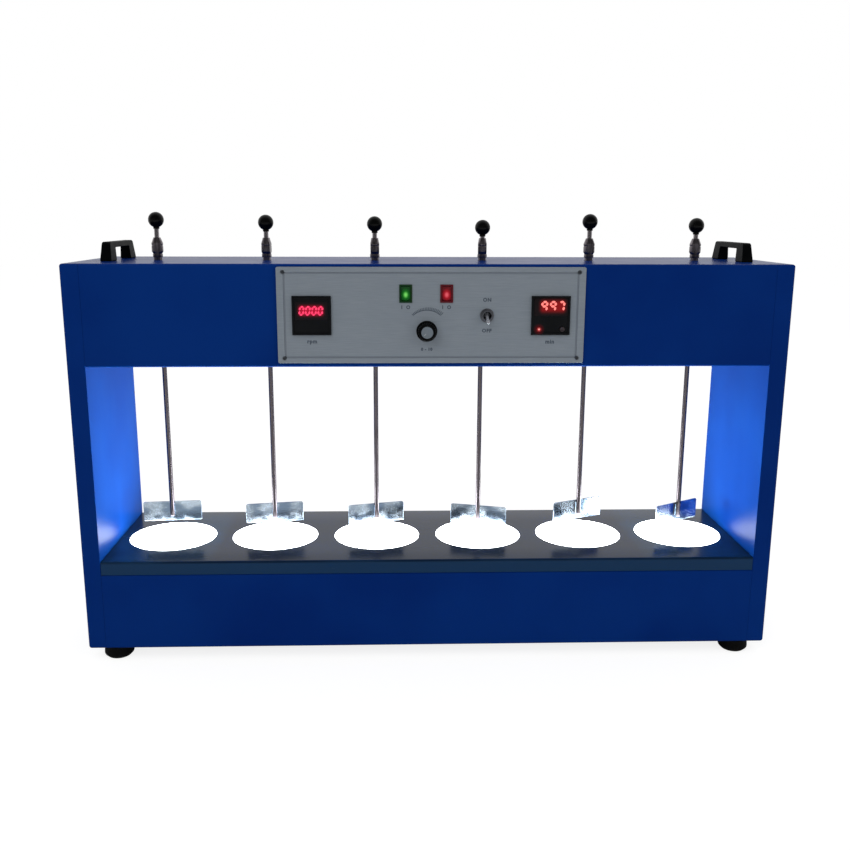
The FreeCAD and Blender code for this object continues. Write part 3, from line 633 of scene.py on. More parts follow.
def weldedCopy(node, weigh=None, ring=0):
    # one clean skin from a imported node; weigh(edge) sets how far the edge is rounded
    source = nodes[node].data
    shape = bmesh.new()
    corners = [shape.verts.new(v.co) for v in source.vertices]
    for face in source.polygons:
        shape.faces.new([corners[k] for k in face.vertices])
    bmesh.ops.remove_doubles(shape, verts=shape.verts, dist=2e-6)
    bmesh.ops.dissolve_degenerate(shape, dist=1e-6, edges=shape.edges)
    bmesh.ops.dissolve_limit(shape, angle_limit=radians(0.5), verts=shape.verts, edges=shape.edges)
    # cuts just inside the rim keep sliver triangles off the broad faces
    for way in (1, 2) if ring else ():
        along = [v.co[way] for v in shape.verts]
        across = [float(k == way) for k in range(3)]
        for place in (min(along) + ring * mm, max(along) - ring * mm):
            bmesh.ops.bisect_plane(shape, geom=shape.verts[:] + shape.edges[:] + shape.faces[:],
                                   plane_co=[place * n for n in across], plane_no=across)
    if weigh:
        layer = shape.edges.layers.float.new("bevel_weight_edge")
        for edge in shape.edges:
            if len(edge.link_faces) == 2 and edge.calc_face_angle() > radians(28):
                edge[layer] = weigh(edge)
    return meshed(shape)


def skinned(node, name, finish, body="case"):
    return addPiece(name, weldedCopy(node), finish, [node], body)


def dress(node, finish):
    data = nodes[node].data
    data.materials.clear()
    data.materials.append(finish)
    smoothed(data, 20)


def newTree(name, floats, ints=()):
    # sizes come in as named inputs, and the finish as one more; returns a wire for each
    tree = bpy.data.node_groups.new(name, "GeometryNodeTree")
    kinds = {"Geometry": "Geometry", **dict.fromkeys(floats, "Float"), **dict.fromkeys(ints, "Int"),
             "Finish": "Material"}
    for label, kind in kinds.items():
        tree.interface.new_socket(label, in_out="INPUT", socket_type="NodeSocket" + kind)
    tree.interface.new_socket("Geometry", in_out="OUTPUT", socket_type="NodeSocketGeometry")
    return [Wire(tree, socket) for socket in tree.nodes.new("NodeGroupInput").outputs if socket.name]


def closeTree(made, finish):
    solid = made.node("GeometryNodeRealizeInstances", {"Geometry": made})
    solid = solid.node("GeometryNodeSetMaterial", {"Geometry": solid, "Material": finish})
    solid.node("NodeGroupOutput", {0: solid})
    return made.tree


def grow(tree, values, mesh=None):
    # runs a tree over a mesh and returns the plain result
    host = placed("host", mesh or bpy.data.meshes.new("seed"))
    work = host.modifiers.new("grow", "NODES")
    work.node_group = tree
    for item in tree.interface.items_tree:
        if item.item_type == "SOCKET" and item.in_out == "INPUT" and item.name in values:
            work[item.identifier] = values[item.name]
    return baked(host)


# painted case: sides, head, base, and the nodes that stay as packed

caseEdges = {"round": 3.6, "fold": 0.12, "segments": 5, "foldSegments": 2, "ring": 14.0}


def weighFold(edge):
    return caseEdges["fold"]


def weighSide(edge):
    # the long outer rim of a side is well rounded, every other edge only broken
    outer = cadBounds[1].x - 1e-5
    return 1.0 if all(abs(v.co.x) > outer for v in edge.verts) else caseEdges["fold"]


for name, node, weigh, ring, segments in (
        ("sidePanelLeft", "side_panel_left", weighSide, caseEdges["ring"], caseEdges["segments"]),
        ("sidePanelRight", "side_panel_right", weighSide, caseEdges["ring"], caseEdges["segments"]),
        ("headShell", "head_shell", weighFold, 0, caseEdges["foldSegments"]),
        ("baseShell", "base_shell", weighFold, 0, caseEdges["foldSegments"])):
    piece = addPiece(name, weldedCopy(node, weigh, ring), bluePaint, [node])
    bevelled(piece, caseEdges["round"], segments, weighted=True)
plainNodes = {
    "head_floor": bluePaint, "lamp_strips": aluminium, "lamp_driver": driverWhite, "gear_plate": zinc,
    "drive_motor": motorGrey, "motor_pinion": brass, "speed_board": circuit,
}
for node, finish in plainNodes.items():
    dress(node, finish)
print("painted case dressed")


# deck and lit windows

deck = {"sheet": 2.0, "bend": 3.0, "edge": 0.35, "hole": 112.0, "sides": 112,
        "windowGap": 0.15, "windowThick": 5.0, "windowEdge": 0.5}
stationX = [middle("spindle_" + number)[0] for number in "123456"]
spindleY = middle("spindle_1")[1]


def atStations(profile, sides, hollow=False):
    return joined(*[moved(lathe(profile, sides, hollow), x, spindleY) for x in stationX])


def makeDeck(settings):
    low, high = ([v / mm for v in corner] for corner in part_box("deck_plate"))
    bend, sheet, radius = settings["bend"], settings["sheet"], settings["hole"] / 2
    y0, y1, bottom, top = low[1], high[1], low[2], high[2]
    outer = [(y0, bottom), (y0, top), (y1, top), (y1, bottom)]
    inner = [(y1 - sheet, bottom), (y1 - sheet, top - sheet), (y0 + sheet, top - sheet), (y0 + sheet, bottom)]
    profile = eased(outer, bend, 6) + eased(inner, bend - sheet, 4)
    count = len(profile)
    points = [(x, y, z) for x in (low[0], high[0]) for y, z in profile]
    faces = hoop(0, count, count) + [list(range(count)), list(range(count, 2 * count))]
    tray = placed("tray", newMesh(points, faces))
    bore = [(radius, top - 3 * sheet), (radius, top + sheet)]
    cutter = placed("bores", atStations(bore, settings["sides"]))
    cut = tray.modifiers.new("bores", "BOOLEAN")
    cut.operation, cut.solver, cut.object = "DIFFERENCE", "EXACT", cutter
    mesh = baked(tray)
    bpy.data.objects.remove(cutter)
    return mesh


bevelled(addPiece("deckPlate", makeDeck(deck), deckBlack, ["deck_plate"]), deck["edge"], 2)
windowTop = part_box("light_windows")[1].z / mm
windowLow, radius = windowTop - deck["windowThick"], deck["hole"] / 2 - deck["windowGap"]
outline = [(0, windowLow), (radius, windowLow), (radius, windowTop), (0, windowTop)]
windows = atStations(eased(outline, deck["windowEdge"], 3), 96)
addPiece("lightWindows", windows, opal, ["light_windows"])
print("deck and windows set")


# feet: turned rubber with a rounded heel and a hollow for the screw

foot = {"radius": 18.25, "heel": 4.5, "height": 17.0, "hole": 6.0, "holeDepth": 8.0, "waist": 0.6,
        "waistDrop": 4.0, "rim": 1.5, "ease": 1.6, "screwRadius": 4.4, "screwProud": 2.0}
footLow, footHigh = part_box("rubber_feet")
footSpots = [(x, y) for x in (footLow.x + foot["radius"] * mm, footHigh.x - foot["radius"] * mm)
             for y in (footLow.y + foot["radius"] * mm, footHigh.y - foot["radius"] * mm)]


def makeFeet(settings):
    r, h, d, top = (settings[key] for key in ("radius", "hole", "holeDepth", "height"))
    outline = [(0, d), (h, d), (h, 0), (r - settings["heel"], 0), (r, settings["heel"]),
               (r - settings["waist"], top - settings["waistDrop"]), (r, top - settings["rim"]),
               (r, top), (0, top)]
    profile = eased(outline, settings["ease"], 4)
    return joined(*[moved(lathe(profile, 64), x, y) for x, y in footSpots])


addPiece("rubberFeet", makeFeet(foot), rubber, ["rubber_feet"])


# carry handles

handleEdge = {"round": 1.4, "segments": 4}
for side in ("left", "right"):
    piece = skinned("carry_handle_" + side, "carryHandle" + side.title(), blackPlastic)
    bevelled(piece, handleEdge["round"], handleEdge["segments"], 30)
print("feet and handles set")


# screws: cross-head caps set on points, each point carrying the way that it faces

def screwTree():
    inputs = ("Head radius", "Head height", "Cross width")
    start, radius, height, cross, finish = newTree("screwHeads", inputs)
    head = start.node("GeometryNodeMeshCone", {"Vertices": 28, "Side Segments": 3, "Depth": height,
                                               "Radius Top": radius * 0.72, "Radius Bottom": radius})
    for wide, deep in ((radius * 1.15, cross), (cross, radius * 1.15)):
        bar = start.node("GeometryNodeMeshCube", {"Size": start.vector(X=wide, Y=deep, Z=height * 1.1)})
        bar = start.node("GeometryNodeTransform", {"Geometry": bar, "Translation": start.vector(Z=height)})
        head = start.node("GeometryNodeMeshBoolean", {"Mesh 1": head, "Mesh 2": bar}, operation="DIFFERENCE")
    aim = start.node("GeometryNodeInputNamedAttribute", {"Name": "aim"}, data_type="FLOAT_VECTOR")
    turn = start.node("FunctionNodeAlignRotationToVector", {"Vector": aim}, axis="Z")
    spin = start.node("FunctionNodeRandomValue", {2: 0.0, 3: 3.0, "Seed": 7}, 1, data_type="FLOAT")
    spin = start.node("FunctionNodeEulerToRotation", {0: start.vector(Z=spin)})
    turn = start.node("FunctionNodeRotateRotation", {0: turn, 1: spin}, rotation_space="LOCAL")
    return closeTree(start.copies(head, Rotation=turn), finish)


screwHeads = screwTree()


def addScrews(name, spots, radius, height, finish):
    mesh = bpy.data.meshes.new("points")
    mesh.from_pydata([spot for spot, aim in spots], [], [])
    facing = mesh.attributes.new("aim", "FLOAT_VECTOR", "POINT")
    facing.data.foreach_set("vector", [v for spot, aim in spots for v in aim])
    made = grow(screwHeads, {"Head radius": radius * mm, "Head height": height * mm,
                             "Cross width": radius * 0.24 * mm, "Finish": finish}, mesh)
    addPiece(name, made, None, angle=35)


backScrews = {"x": (-395, -200, 0, 200, 395), "inset": 12, "radius": 3.4, "proud": 1.6}
spots = []
for node in ("head_shell", "base_shell"):
    low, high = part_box(node)
    spots += [((x * mm, high.y, z), (0, 1, 0)) for x in backScrews["x"]
              for z in (low.z + backScrews["inset"] * mm, high.z - backScrews["inset"] * mm)]
addScrews("backScrews", spots, backScrews["radius"], backScrews["proud"], zinc)
spots = [((x, y, foot["holeDepth"] * mm), (0, 0, -1)) for x, y in footSpots]
addScrews("footScrews", spots, foot["screwRadius"], foot["screwProud"], zinc)

panelLow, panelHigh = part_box("control_panel")
panelX, panelZ = middle("control_panel")[::2]
panelFace = {"rimWide": 8.0, "rimTall": 6.0, "recess": 0.8, "edge": 0.25,
             "screwIn": (7.6, 5.8), "screwRadius": 2.7, "screwProud": 1.9}
fieldY = panelLow.y + panelFace["recess"] * mm
insetX, insetZ = (v * mm for v in panelFace["screwIn"])
spots = [((x, fieldY, z), (0, -1, 0)) for x in (panelLow.x + insetX, panelHigh.x - insetX)
         for z in (panelLow.z + insetZ, panelHigh.z - insetZ)]
addScrews("panelScrews", spots, panelFace["screwRadius"], panelFace["screwProud"], screwBlack)
print("screws set")


# control panel: plate, printed border, dial scale and plain marks

bevelled(skinned("control_panel", "controlPanel", anodised), panelFace["edge"], 2)
printing = {"lift": 0.04, "thick": 0.08, "border": 2.0, "corner": 0.4, "fromRim": 0.1,
            "bold": 0.28, "spread": 1.16}


def onPanel(mesh, x, z, turn=None):
    return moved(mesh, x, fieldY - printing["lift"] * mm, z, turn)


def borderLine(line, corner):
    width = (panelHigh.x - panelLow.x) / mm - 2 * (panelFace["rimWide"] + printing["fromRim"])
    height = (panelHigh.z - panelLow.z) / mm - 2 * (panelFace["rimTall"] + printing["fromRim"])
    outer = roundedBox(width, height, corner, 2)
    inner = roundedBox(width - 2 * line, height - 2 * line, corner, 2)
    return onPanel(slab(outer, printing["thick"], inner), panelX, panelZ)


def words(text, size, x, z, above):
    # plain marks as a thin mesh on the panel's field
    curve = bpy.data.curves.new(text, "FONT")
    curve.body, curve.size = text, size * mm
    curve.align_x, curve.align_y = "CENTER", "CENTER"
    curve.extrude = printing["thick"] / 2 * mm
    curve.offset = printing["bold"] * mm
    curve.space_character = printing["spread"]
    curve.resolution_u = 3
    return onPanel(baked(placed(text, curve)), x, z + above * mm, toFront)


dialX, dialZ = middle("speed_knob")[::2]
dial = {"radius": 25.0, "long": 4.0, "short": 1.6, "thick": 0.9, "reach": 41, "marks": 21,
        "rule": 0.9, "steps": 24}


def tickTree():
    start, radius, long, short, thick, reach, depth, marks, finish = newTree(
        "dialTicks", ("Radius", "Long", "Short", "Thick", "Reach", "Depth"), ("Marks",))
    row = start.node("GeometryNodeMeshLine", {"Count": marks, "Offset": (0, 0, 0)})
    share = start.node("GeometryNodeInputIndex") / (marks - 1)
    angle = reach * (share * 2 - 1)
    length = short + share * (long - short)
    far = radius + length * 0.5
    row = row.shifted(X=far * angle.maths("SINE"), Z=far * angle.maths("COSINE"))
    bar = start.node("GeometryNodeMeshCube", {"Size": (1.0, 1.0, 1.0)})
    turn = start.node("FunctionNodeEulerToRotation", {0: start.vector(Y=angle)})
    size = start.vector(X=thick, Y=depth, Z=length)
    return closeTree(row.copies(bar, Rotation=turn, Scale=size), finish)


ticks = grow(tickTree(), {
    **{key.title(): dial[key] * mm for key in ("radius", "long", "short", "thick")}, "Marks": dial["marks"],
    "Reach": radians(dial["reach"]), "Depth": printing["thick"] * mm, "Finish": panelInk})
addPiece("dialTicks", moved(ticks, dialX, fieldY, dialZ), None)


def dialRule(settings):
    # thin curved rule that the bars stand on
    steps = settings["steps"]
    angles = [90 - settings["reach"] * (2 * k / steps - 1) for k in range(steps + 1)]
    low, high = (arc(r, angles) for r in (settings["radius"] - settings["rule"], settings["radius"]))
    return onPanel(slab(low + high[::-1], printing["thick"]), dialX, dialZ)


addPiece("borderLine", borderLine(printing["border"], printing["corner"]), ruleInk)
displayX = [middle(name + "_display")[0] for name in ("speed", "timer")]
rockerX = [middle(name + "_rocker")[0] for name in ("green", "red")]
rockerZ = middle("rocker_housings")[2]
toggleX = middle("toggle_bushing")[0]
# each mark's text, size and place across, the height of what it belongs to and how far it stands above that
plainMarks = [("rpm", 6.4, displayX[0], panelZ, -30.5), ("min", 6.4, displayX[1], panelZ, -31),
              ("I  O", 5.6, rockerX[0], rockerZ, -16), ("I  O", 5.6, rockerX[1], rockerZ, -16),
              ("ON", 5.8, toggleX, panelZ, 18), ("OFF", 5.8, toggleX, panelZ, -18),
              ("0 - 10", 4.8, dialX, dialZ, -21.5)]
marks = joined(dialRule(dial), *[words(*mark) for mark in plainMarks])
addPiece("panelPrint", marks, panelInk)
print("control panel printed")


# displays: bezels, red filters, seven-segment digits and the two timer keys

keyX, keyZ = middle("timer_key_left")[::2]
meters = {
    "speed": {"text": "0000", "digit": (6.5, 11.2), "pitch": 7.3, "place": (-0.4, 5.8), "glass": (38.0, 21.0),
              "glassRise": 5.6, "spill": 8.0, "bar": 2.2, "halo": (176, 10, 46), "keySpot": None,
              "lit": ((200, 26, 66), (224, 54, 96))},
    "timer": {"text": "997", "digit": (8.2, 12.8), "pitch": 10.0, "place": (2.0, 10.9), "glass": (39.8, 20.4),
              "glassRise": 9.8, "spill": 9.5, "bar": 2.6, "halo": (134, 10, 12),
              "keySpot": (keyX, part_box("timer_key_left")[0].y, keyZ),
              "lit": ((212, 88, 82), (232, 124, 116))},
}
litBars = {"0": "abcdef", "7": "abc", "9": "abcfg"}
meterFace = {"glassProud": 0.35, "glassThick": 1.0, "glassCorner": 1.0, "glassEdge": 0.2, "digitProud": 0.12,
             "digitThick": 0.1, "slant": 0.12, "sink": 1.2, "bezelEdge": 0.5, "glowInset": 3.0}


def segmentShapes(width, height, bar):
    # outlines of the seven bars round a digit's middle
    w, h, b = width / 2 - bar / 2, height / 2 - bar / 2, bar / 2
    gap = b * 0.28
    end = w - gap

    def lying(z):
        return [(-end, z), (b - end, z + b), (end - b, z + b), (end, z), (end - b, z - b), (b - end, z - b)]

    def standing(x, low, high):
        return [(x, low + gap), (x - b, low + gap + b), (x - b, high - gap - b), (x, high - gap),
                (x + b, high - gap - b), (x + b, low + gap + b)]

    return {"a": lying(h), "g": lying(0), "d": lying(-h), "b": standing(w, 0, h), "c": standing(w, -h, 0),
            "f": standing(-w, 0, h), "e": standing(-w, -h, 0)}


def addMeter(name, meter, face):
    node, count = name + "_display", len(meter["text"])
    middleX, middleZ = middle(node)[::2]
    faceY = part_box(node)[0].y + face["sink"] * mm
    centre = (middleX + meter["place"][0] * mm, faceY, middleZ + meter["place"][1] * mm)
    glassY = faceY - face["glassProud"] * mm
    reach = (meter["pitch"] * (count - 1) / 2 + meter["digit"][0] / 2, meter["digit"][1] / 2)
    lamp = (centre, [(r - face["glowInset"]) * mm for r in reach], meter["spill"] * mm, meter["halo"])
    bezel = makeFinish(name + "Bezel", meterBezel(meter["keySpot"], *lamp), glow=1.0, shine=0.12)
    bevelled(skinned(node, name + "Display", bezel), face["bezelEdge"], 3, 40)
    filterGlass = makeFinish(name + "Filter", digitGlass(*lamp), glow=1.0, shine=0.15)
    glass = moved(slab(roundedBox(*meter["glass"], face["glassCorner"]), face["glassThick"]), middleX, glassY,
                  middleZ + meter["glassRise"] * mm)
    bevelled(addPiece(name + "Filter", glass, filterGlass), face["glassEdge"], 2)
    shapes = segmentShapes(*meter["digit"], meter["bar"])
    bars = []
    for number, letter in enumerate(meter["text"]):
        x = (number - (count - 1) / 2) * meter["pitch"]
        bars += [slab([(x + a + b * face["slant"], b) for a, b in shapes[key]], face["digitThick"])
                 for key in litBars[letter]]
    digits = moved(joined(*bars), centre[0], glassY - face["digitProud"] * mm, centre[2])
    lit = makeFinish(name + "Digits", glowing(*meter["lit"]), glow=1.0)
    addPiece(name + "Digits", digits, lit)


for name, meter in meters.items():
    addMeter(name, meter, meterFace)

timerKey = {"radius": 3.0, "flange": 3.8, "flangeThick": 1.0, "dish": 0.5, "ease": 0.45,
            "spot": (0.0016, 0.0016), "lit": ((90, 10, 14), (170, 20, 20), (255, 190, 180))}
for side in ("left", "right"):
    node = "timer_key_" + side
    low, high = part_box(node)
    x, z = middle(node)[::2]
    long = (high.y - low.y) / mm
    r, rim, thick, dish, ease = (timerKey[key] for key in ("radius", "flange", "flangeThick", "dish", "ease"))
    profile = eased([(0, 0), (rim, 0), (rim, thick), (r, thick), (r, long), (r - 1.0, long - 0.1),
                     (0, long - dish)], ease, 4)
    if side == "left":
        lens = litLens((x, low.y, z), timerKey["spot"], *timerKey["lit"])
        finish = makeFinish("litTimerKey", lens, glow=1.0)
    else:
        finish = makeFinish("darkTimerKey", moulded((30, 20, 25), (42, 29, 34), 0.3, 0.00001))
    key = moved(lathe(profile, 40), x, high.y, z, toFront)
    addPiece("timerKey" + side.title(), key, finish, [node], node)
print("displays set")


# rocker switches

rockers = {
    # rimGlow holds the painted light on the housings' fronts, green beside the green lens and red beside the
    # red
    "edge": 0.35, "lampDrop": 1.2, "lampReach": (0.0034, 0.0044), "rimGlow": ((8, 42, 14), (74, 14, 22)),
    "green": ((6, 50, 16), (20, 100, 24), (118, 214, 98)),
    "red": ((76, 10, 18), (152, 18, 30), (216, 90, 102)),
}


def litRims(place):
    # black housings with painted light at the front, a glow in their lens's colour
    made = darkBezel(place)
    red = ramped(place.axis("X"), *rockerX)
    front = ramped(place.axis("Y"), fieldY + 1 * mm, fieldY - 1 * mm)
    # painted light: the housing's front glows in the lens's colour, though the housing is no lamp
    made["Emission Color"] = mixTone(front, (0, 0, 0), mixTone(red, *rockers["rimGlow"]))
    return made


rimFinish = makeFinish("litRockerHousing", litRims, glow=1.0, shine=0.12)
bevelled(skinned("rocker_housings", "rockerHousings", rimFinish), rockers["edge"], 3, 40)
for name, x in zip(("green", "red"), rockerX):
    node = name + "_rocker"
    spot = (x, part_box(node)[0].y, rockerZ - rockers["lampDrop"] * mm)
    lens = litLens(spot, rockers["lampReach"], *rockers[name])
    finish = makeFinish(name + "RockerLens", lens, glow=0.95, shine=0.15)
    bevelled(skinned(node, name + "Rocker", finish, node), rockers["edge"], 3, 25)
print("rockers set")


# speed knob: skirt, fluted grip made by a rule, shaft, spun cap and pointer

knob = {"skirt": 12.3, "skirtHeight": 3.0, "grip": 10.5, "height": 15.0, "flutes": 24, "depth": 0.8,
        "shoulder": 1.4, "cap": 6.9, "capProud": 0.5, "shaft": 3.0, "shaftLength": 16.2, "sink": 0.5,
        "pointer": (0.9, 3.2, 0.4), "pointerThick": 0.12, "pointerOut": 3.6, "pointerTurn": -135}


def gripTree():
    start, radius, height, fluteDepth, shoulder, flutes, finish = newTree(
        "flutedGrip", ("Radius", "Height", "Flute depth", "Shoulder"), ("Flutes",))
    tube = start.node("GeometryNodeMeshCylinder", {"Vertices": 288, "Side Segments": 16, "Radius": radius,
                                                   "Depth": height})
    x, y, z = (start.node("GeometryNodeInputPosition").axis(name) for name in "XYZ")
    wave = (start.maths("ARCTAN2", y, x) * flutes).maths("COSINE")
    groove = fluteDepth * (0.5 - wave * 0.5)
    fromTop = start.node("ShaderNodeMath", {0: 1.0, 1: (height * 0.5 - z) / shoulder}, operation="SUBTRACT",
                         use_clamp=True)
    shrink = 1.0 - (groove * (1 - fromTop * 0.6) + shoulder * 0.7 * fromTop * fromTop) / radius
    return closeTree(tube.shifted(X=x * shrink, Y=y * shrink, Z=z), finish)


gripHeight = knob["height"] - knob["skirtHeight"]
grip = grow(gripTree(), {
    "Radius": knob["grip"] * mm, "Height": gripHeight * mm, "Flutes": knob["flutes"],
    "Flute depth": knob["depth"] * mm, "Shoulder": knob["shoulder"] * mm, "Finish": blackPlastic})
moved(grip, 0, 0, (knob["skirtHeight"] + gripHeight / 2) * mm)
shaftEnd, skirtTop = -knob["shaftLength"] - 0.5, knob["skirtHeight"] + 0.3
skirt = lathe(eased([(0, shaftEnd), (knob["shaft"], shaftEnd), (knob["shaft"], 0), (knob["skirt"], 0),
                     (knob["skirt"], 1.2), (knob["grip"] - 0.4, skirtTop), (0, skirtTop)], 0.5, 3), 96)
knobBack = fieldY - knob["sink"] * mm


def onKnob(mesh, out=0.0, turn=toFront):
    return moved(mesh, dialX, knobBack - out * mm, dialZ, turn)


knobBody = onKnob(joined(skirt, grip))
addPiece("speedKnob", knobBody, blackPlastic, ["speed_knob"], "speed_knob")

capTop, capLow, capRadius = knob["height"] + knob["capProud"], knob["height"] - 1, knob["cap"]
cap = lathe(eased([(0, capLow), (capRadius, capLow), (capRadius, capTop), (capRadius - 1.2, capTop),
                   (capRadius - 1.5, capTop - 0.2), (0, capTop - 0.2)], 0.3, 3), 72)
capFinish = makeFinish("spunKnobCap", spun((dialX, knobBack, dialZ), (94, 103, 111), (110, 119, 127), 0.3),
                       metal=0.2, shine=0.3)
addPiece("knobCap", onKnob(cap), capFinish, ["knob_cap"], "speed_knob")
pointer = moved(slab(roundedBox(*knob["pointer"]), knob["pointerThick"]), 0, 0, knob["pointerOut"] * mm)
pointer = onKnob(pointer, capTop - 0.14, turned(knob["pointerTurn"], "Y"))
addPiece("knobPointer", pointer, pointerInk, (), "speed_knob")
print("speed knob set")


# toggle switch: threaded bush, hex nut, washer and a bat lever

toggle = {"bush": 6.0, "bushHeight": 6.0, "nut": 7.8, "nutHeight": 2.4, "washer": 8.2, "washerHeight": 0.6,
          "washerHole": 5.6, "mouth": 4.9, "bore": 2.6, "pitch": 0.75, "body": (13, 26, 0.8), "tilt": 20.0,
          "length": 21.0, "root": 1.5, "end": 2.2, "ball": 2.1}


def makeBush(settings):
    r, top, pitch, mouth, bore = (settings[key] for key in ("bush", "bushHeight", "pitch", "mouth", "bore"))
    profile = [(0, -2.2), (r, -2.2), (r, 0)]
    for k in range(int((top - 0.6) / pitch)):
        z = k * pitch
        profile += [(r, z + 0.1), (r - 0.35, z + pitch / 2), (r, z + pitch - 0.1)]
    profile += [(r, top - 0.5), (r - 0.5, top), (mouth, top), (bore, 0.2), (bore, -1.9), (0, -1.9)]
    return lathe(profile, 56)


def makeNut(settings, sides=48):
    # six flats with the corners turned off
    r, thick, lift = (settings[key] for key in ("nut", "nutHeight", "washerHeight"))
    points, hole = [], settings["bush"] * 0.96
    for share, height in ((0.93, 0), (1.0, 0.12), (1.0, 0.88), (0.93, 1.0), (0, 1.0), (0, 0)):
        for k in range(sides):
            a = 2 * pi * k / sides
            flat = cos(pi / 6) / cos((a + pi / 6) % (pi / 3) - pi / 6)
            reach = r * min(flat, share) if share else hole
            points.append((reach * cos(a), reach * sin(a), height * thick + lift))
    rings = range(0, len(points), sides)
    return newMesh(points, [face for n in rings for face in hoop(n, (n + sides) % len(points), sides)])


def makeWasher(settings):
    hole, r, thick = (settings[key] for key in ("washerHole", "washer", "washerHeight"))
    return lathe([(hole, 0), (r, 0), (r, thick), (hole, thick), (hole, 0)], 56)


def makeLever(settings):
    root, end, length, ball = (settings[key] for key in ("root", "end", "length", "ball"))
    outline = [(0, -ball), *arc(ball, (-60, -30, 0, 25)), (root, ball * 0.9), (end, length - end),
               *arc(end, (20, 40, 60, 78), 0, length - end), (0, length)]
    return lathe(outline, 40)


toggleBush = joined(makeBush(toggle), makeNut(toggle), makeWasher(toggle))
moved(toggleBush, toggleX, fieldY, panelZ, toFront)
addPiece("toggleBush", toggleBush, nickel, ["toggle_bushing"])
housing = slab(roundedBox(*toggle["body"]), (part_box("toggle_bushing")[1].y - panelHigh.y) / mm)
addPiece("toggleBody", moved(housing, toggleX, panelHigh.y, panelZ), blackPlastic)
lever = moved(makeLever(toggle), toggleX, fieldY, panelZ, turned(toggle["tilt"], "X") @ toFront)
addPiece("toggleLever", lever, chrome, ["toggle_lever"], "toggle_lever")
print("toggle set")


# stirring stations: ball knob, chuck, rod with its blade and weld

stirrer = {"rod": 3.0, "bladeWidth": 75.0, "bladeHeight": 26.0, "bladeSheet": 1.5, "corner": 3.0, "edge": 0.3,
           "rodPast": 6.5, "turn": (5.0, 9.0, 14.0, -16.0, 24.0, 30.0),
           "beads": 9, "beadRadius": 0.9, "beadSpread": 2.5, "beadSink": 0.1,
           "weldLength": 14.0, "weldRise": 3}
ball = {"radius": 9.5, "neck": 3.8, "neckHeight": 1.5, "steps": 26}
chuck = {"collar": 6.0, "body": 7.0, "nose": 4.3, "bore": 3.05, "flat": 5.4, "step": 0.5,
         "heights": (0, 4.0, 7.0, 17.0, 24.0), "groove": (3.2, 2.8, 2.2, 1.8),
         "turn": (8.0, 82.0, 94.0, 86.0, 12.0, -10.0)}


def weldTree():
    inputs = ("Length", "Bead radius", "Spread")
    start, length, radius, spread, beads, finish = newTree("weldBeads", inputs, ("Beads",))
    bead = start.node("GeometryNodeMeshIcoSphere", {"Radius": radius, "Subdivisions": 3})
    shift = start.node("FunctionNodeRandomValue", {0: (0.85, 0.85, 0.9), 1: (1.15, 1.15, 1.3), "Seed": 3},
                       data_type="FLOAT_VECTOR")
    sets = []
    for way in (-1, 1):
        row = start.node("GeometryNodeMeshLine", {
            "Count": beads, "Start Location": start.vector(X=spread * way, Z=length * -0.5),
            "Offset": start.vector(Z=length / (beads - 1))})
        sets.append(row.copies(bead, Scale=shift))
    both = start.node("GeometryNodeJoinGeometry", {0: sets[0]})
    start.tree.links.new(sets[1].socket, both.socket.node.inputs[0])
    return closeTree(both, finish)


def makeRod(low, top, settings):
    r, long = settings["rod"], top - low
    outline = [(0, 0), (r - 0.9, 0), (r, 0.9), (r, long - 0.4), (r - 0.4, long), (0, long)]
    return moved(lathe(eased(outline, 0.6, 3), 40), 0, 0, low * mm)


def makeBlade(z, settings):
    half, tall, corner = settings["bladeWidth"] / 2, settings["bladeHeight"] / 2, settings["corner"]
    outline = [(-half, -tall), (half, -tall)]
    for x, first in ((half - corner, 0), (corner - half, 90)):
        outline += arc(corner, range(first, first + 91, 15), x, tall - corner)
    mesh = slab(outline, settings["bladeSheet"])
    return moved(mesh, 0, (settings["rod"] - settings["bladeSheet"] / 2) * mm, z * mm)


def makeBall(settings):
    r, neck, steps = settings["radius"], settings["neck"], settings["steps"]
    low = -r - settings["neckHeight"]
    first = degrees(asin(-sqrt(1 - (neck / r) ** 2)))
    return lathe([(0, low), (neck - 0.3, low), (neck, low + 0.3),
                  *arc(r, [first + (88 - first) * k / steps for k in range(steps + 1)]), (0, r)], 56)


def makeChuck(settings):
    # turned nut with two flats above its collar, a grooved waist and a nose that closes on the rod
    h, flat, collar, body, step = (settings[key] for key in ("heights", "flat", "collar", "body", "step"))
    lower = eased([(0, h[0]), (collar, h[0]), (collar, h[1]), (collar - step, h[1])], 0.4, 3)
    groove = [(body - inward, h[3] - drop) for inward, drop in zip((0, step, step, 0), settings["groove"])]
    upper = eased([(collar - step, h[1] + 0.01), (collar - step, h[1] + step), (body, h[2]), *groove,
                   (body, h[3]), (settings["nose"], h[4]), (settings["bore"], h[4]), (0, h[4])], 0.35, 3)
    mesh = lathe(lower + upper, 72)
    for vertex in mesh.vertices:
        if vertex.co.z > h[1] * mm + 1e-6:
            vertex.co.y = max(-flat * mm, min(flat * mm, vertex.co.y))
    mesh.update()
    return mesh


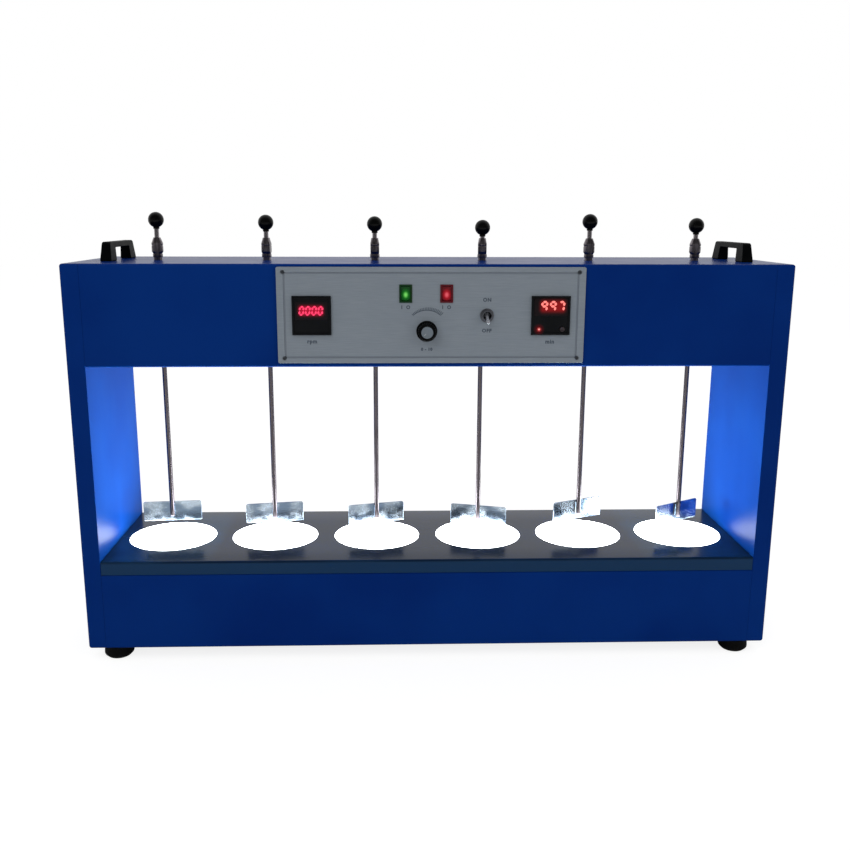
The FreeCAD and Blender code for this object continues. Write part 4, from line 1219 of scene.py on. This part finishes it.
welding = weldTree()
for k, x in enumerate(stationX):
    number = str(k + 1)
    body, steel = "stirrer_" + number, turned(stirrer["turn"][k], "Z")
    rodLow, rodHigh = (v.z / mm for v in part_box(body))
    bladeZ = rodLow + stirrer["bladeHeight"] / 2
    rod = moved(makeRod(bladeZ - stirrer["rodPast"], rodHigh, stirrer), x, spindleY, 0, steel)
    addPiece("stirrerRod" + number, rod, rodSteel, [body], body)
    blade = moved(makeBlade(bladeZ, stirrer), x, spindleY, 0, steel)
    bevelled(addPiece("stirrerBlade" + number, blade, bladeSteel, (), body), stirrer["edge"], 2)
    bead = grow(welding, {
        "Beads": stirrer["beads"], "Length": stirrer["weldLength"] * mm, "Spread": stirrer["beadSpread"] * mm,
        "Bead radius": stirrer["beadRadius"] * mm, "Finish": bladeSteel})
    outward = stirrer["rod"] - stirrer["bladeSheet"] / 2 - stirrer["beadSink"]
    moved(bead, 0, outward * mm, (bladeZ + stirrer["weldRise"]) * mm)
    addPiece("stirrerWeld" + number, moved(bead, x, spindleY, 0, steel), bladeSteel, (), body)
    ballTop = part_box("lift_knob_" + number)[1].z
    addPiece("liftKnob" + number, moved(makeBall(ball), x, spindleY, ballTop - ball["radius"] * mm), phenolic,
             ["lift_knob_" + number], body)
    body = "chuck_" + number
    nut = moved(makeChuck(chuck), x, spindleY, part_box(body)[0].z, turned(chuck["turn"][k], "Z"))
    addPiece("gripChuck" + number, nut, chuckSteel, [body], body, 24)
    dress("spindle_" + number, chuckSteel)
    dress("drive_gear_" + number, nylon)
print("stirring stations set")


# bushes: a many-sided bore laid round the true circle never meets the turning spindle's facets

bush = {"outer": 7.0, "bore": 5.05, "sides": 64}
levels = sorted({round(v.co.z, 5) / mm for v in nodes["spindle_bearings"].data.vertices})
outer, inner = bush["outer"], bush["bore"] / cos(pi / bush["sides"])
rows = [atStations([(outer, low), (outer, high), (inner, high), (inner, low)], bush["sides"], hollow=True)
        for low, high in (levels[:2], levels[-2:])]
addPiece("spindleBushes", joined(*rows), brass, ["spindle_bearings"])


# mains inlet and its three pins

inlet = {"edge": 0.3, "pitch": 7.0, "rise": 2, "width": 4.3, "thick": 2.3, "length": 12.2, "well": 17.5}
bevelled(skinned("mains_inlet", "mainsInlet", blackPlastic), inlet["edge"], 2)


def pinTree():
    start, width, thick, length, finish = newTree("inletPins", ("Width", "Thick", "Length"))
    size = start.vector(X=thick, Y=length, Z=width)
    pin = start.node("GeometryNodeMeshCube", {"Size": size, "Vertices Y": 6})
    x, y, z = (start.node("GeometryNodeInputPosition").axis(name) for name in "XYZ")
    narrow = 1 - start.maths("GREATER_THAN", y, length * 0.45) * 0.35
    return closeTree(start.copies(pin.shifted(X=x * narrow, Y=y, Z=z * narrow)), finish)


inletX, inletZ = middle("mains_inlet")[::2]
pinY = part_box("mains_inlet")[1].y - inlet["well"] * mm + inlet["length"] / 2 * mm
mesh = bpy.data.meshes.new("points")
mesh.from_pydata([(inletX + side * inlet["pitch"] * mm, pinY, inletZ + up * inlet["rise"] * mm)
                  for side, up in ((-1, -1), (0, 1), (1, -1))], [], [])
pinSizes = {key.title(): inlet[key] * mm for key in ("width", "thick", "length")}
made = grow(pinTree(), {**pinSizes, "Finish": chrome}, mesh)
addPiece("inletPins", made, None)
print("bushes and inlet set")
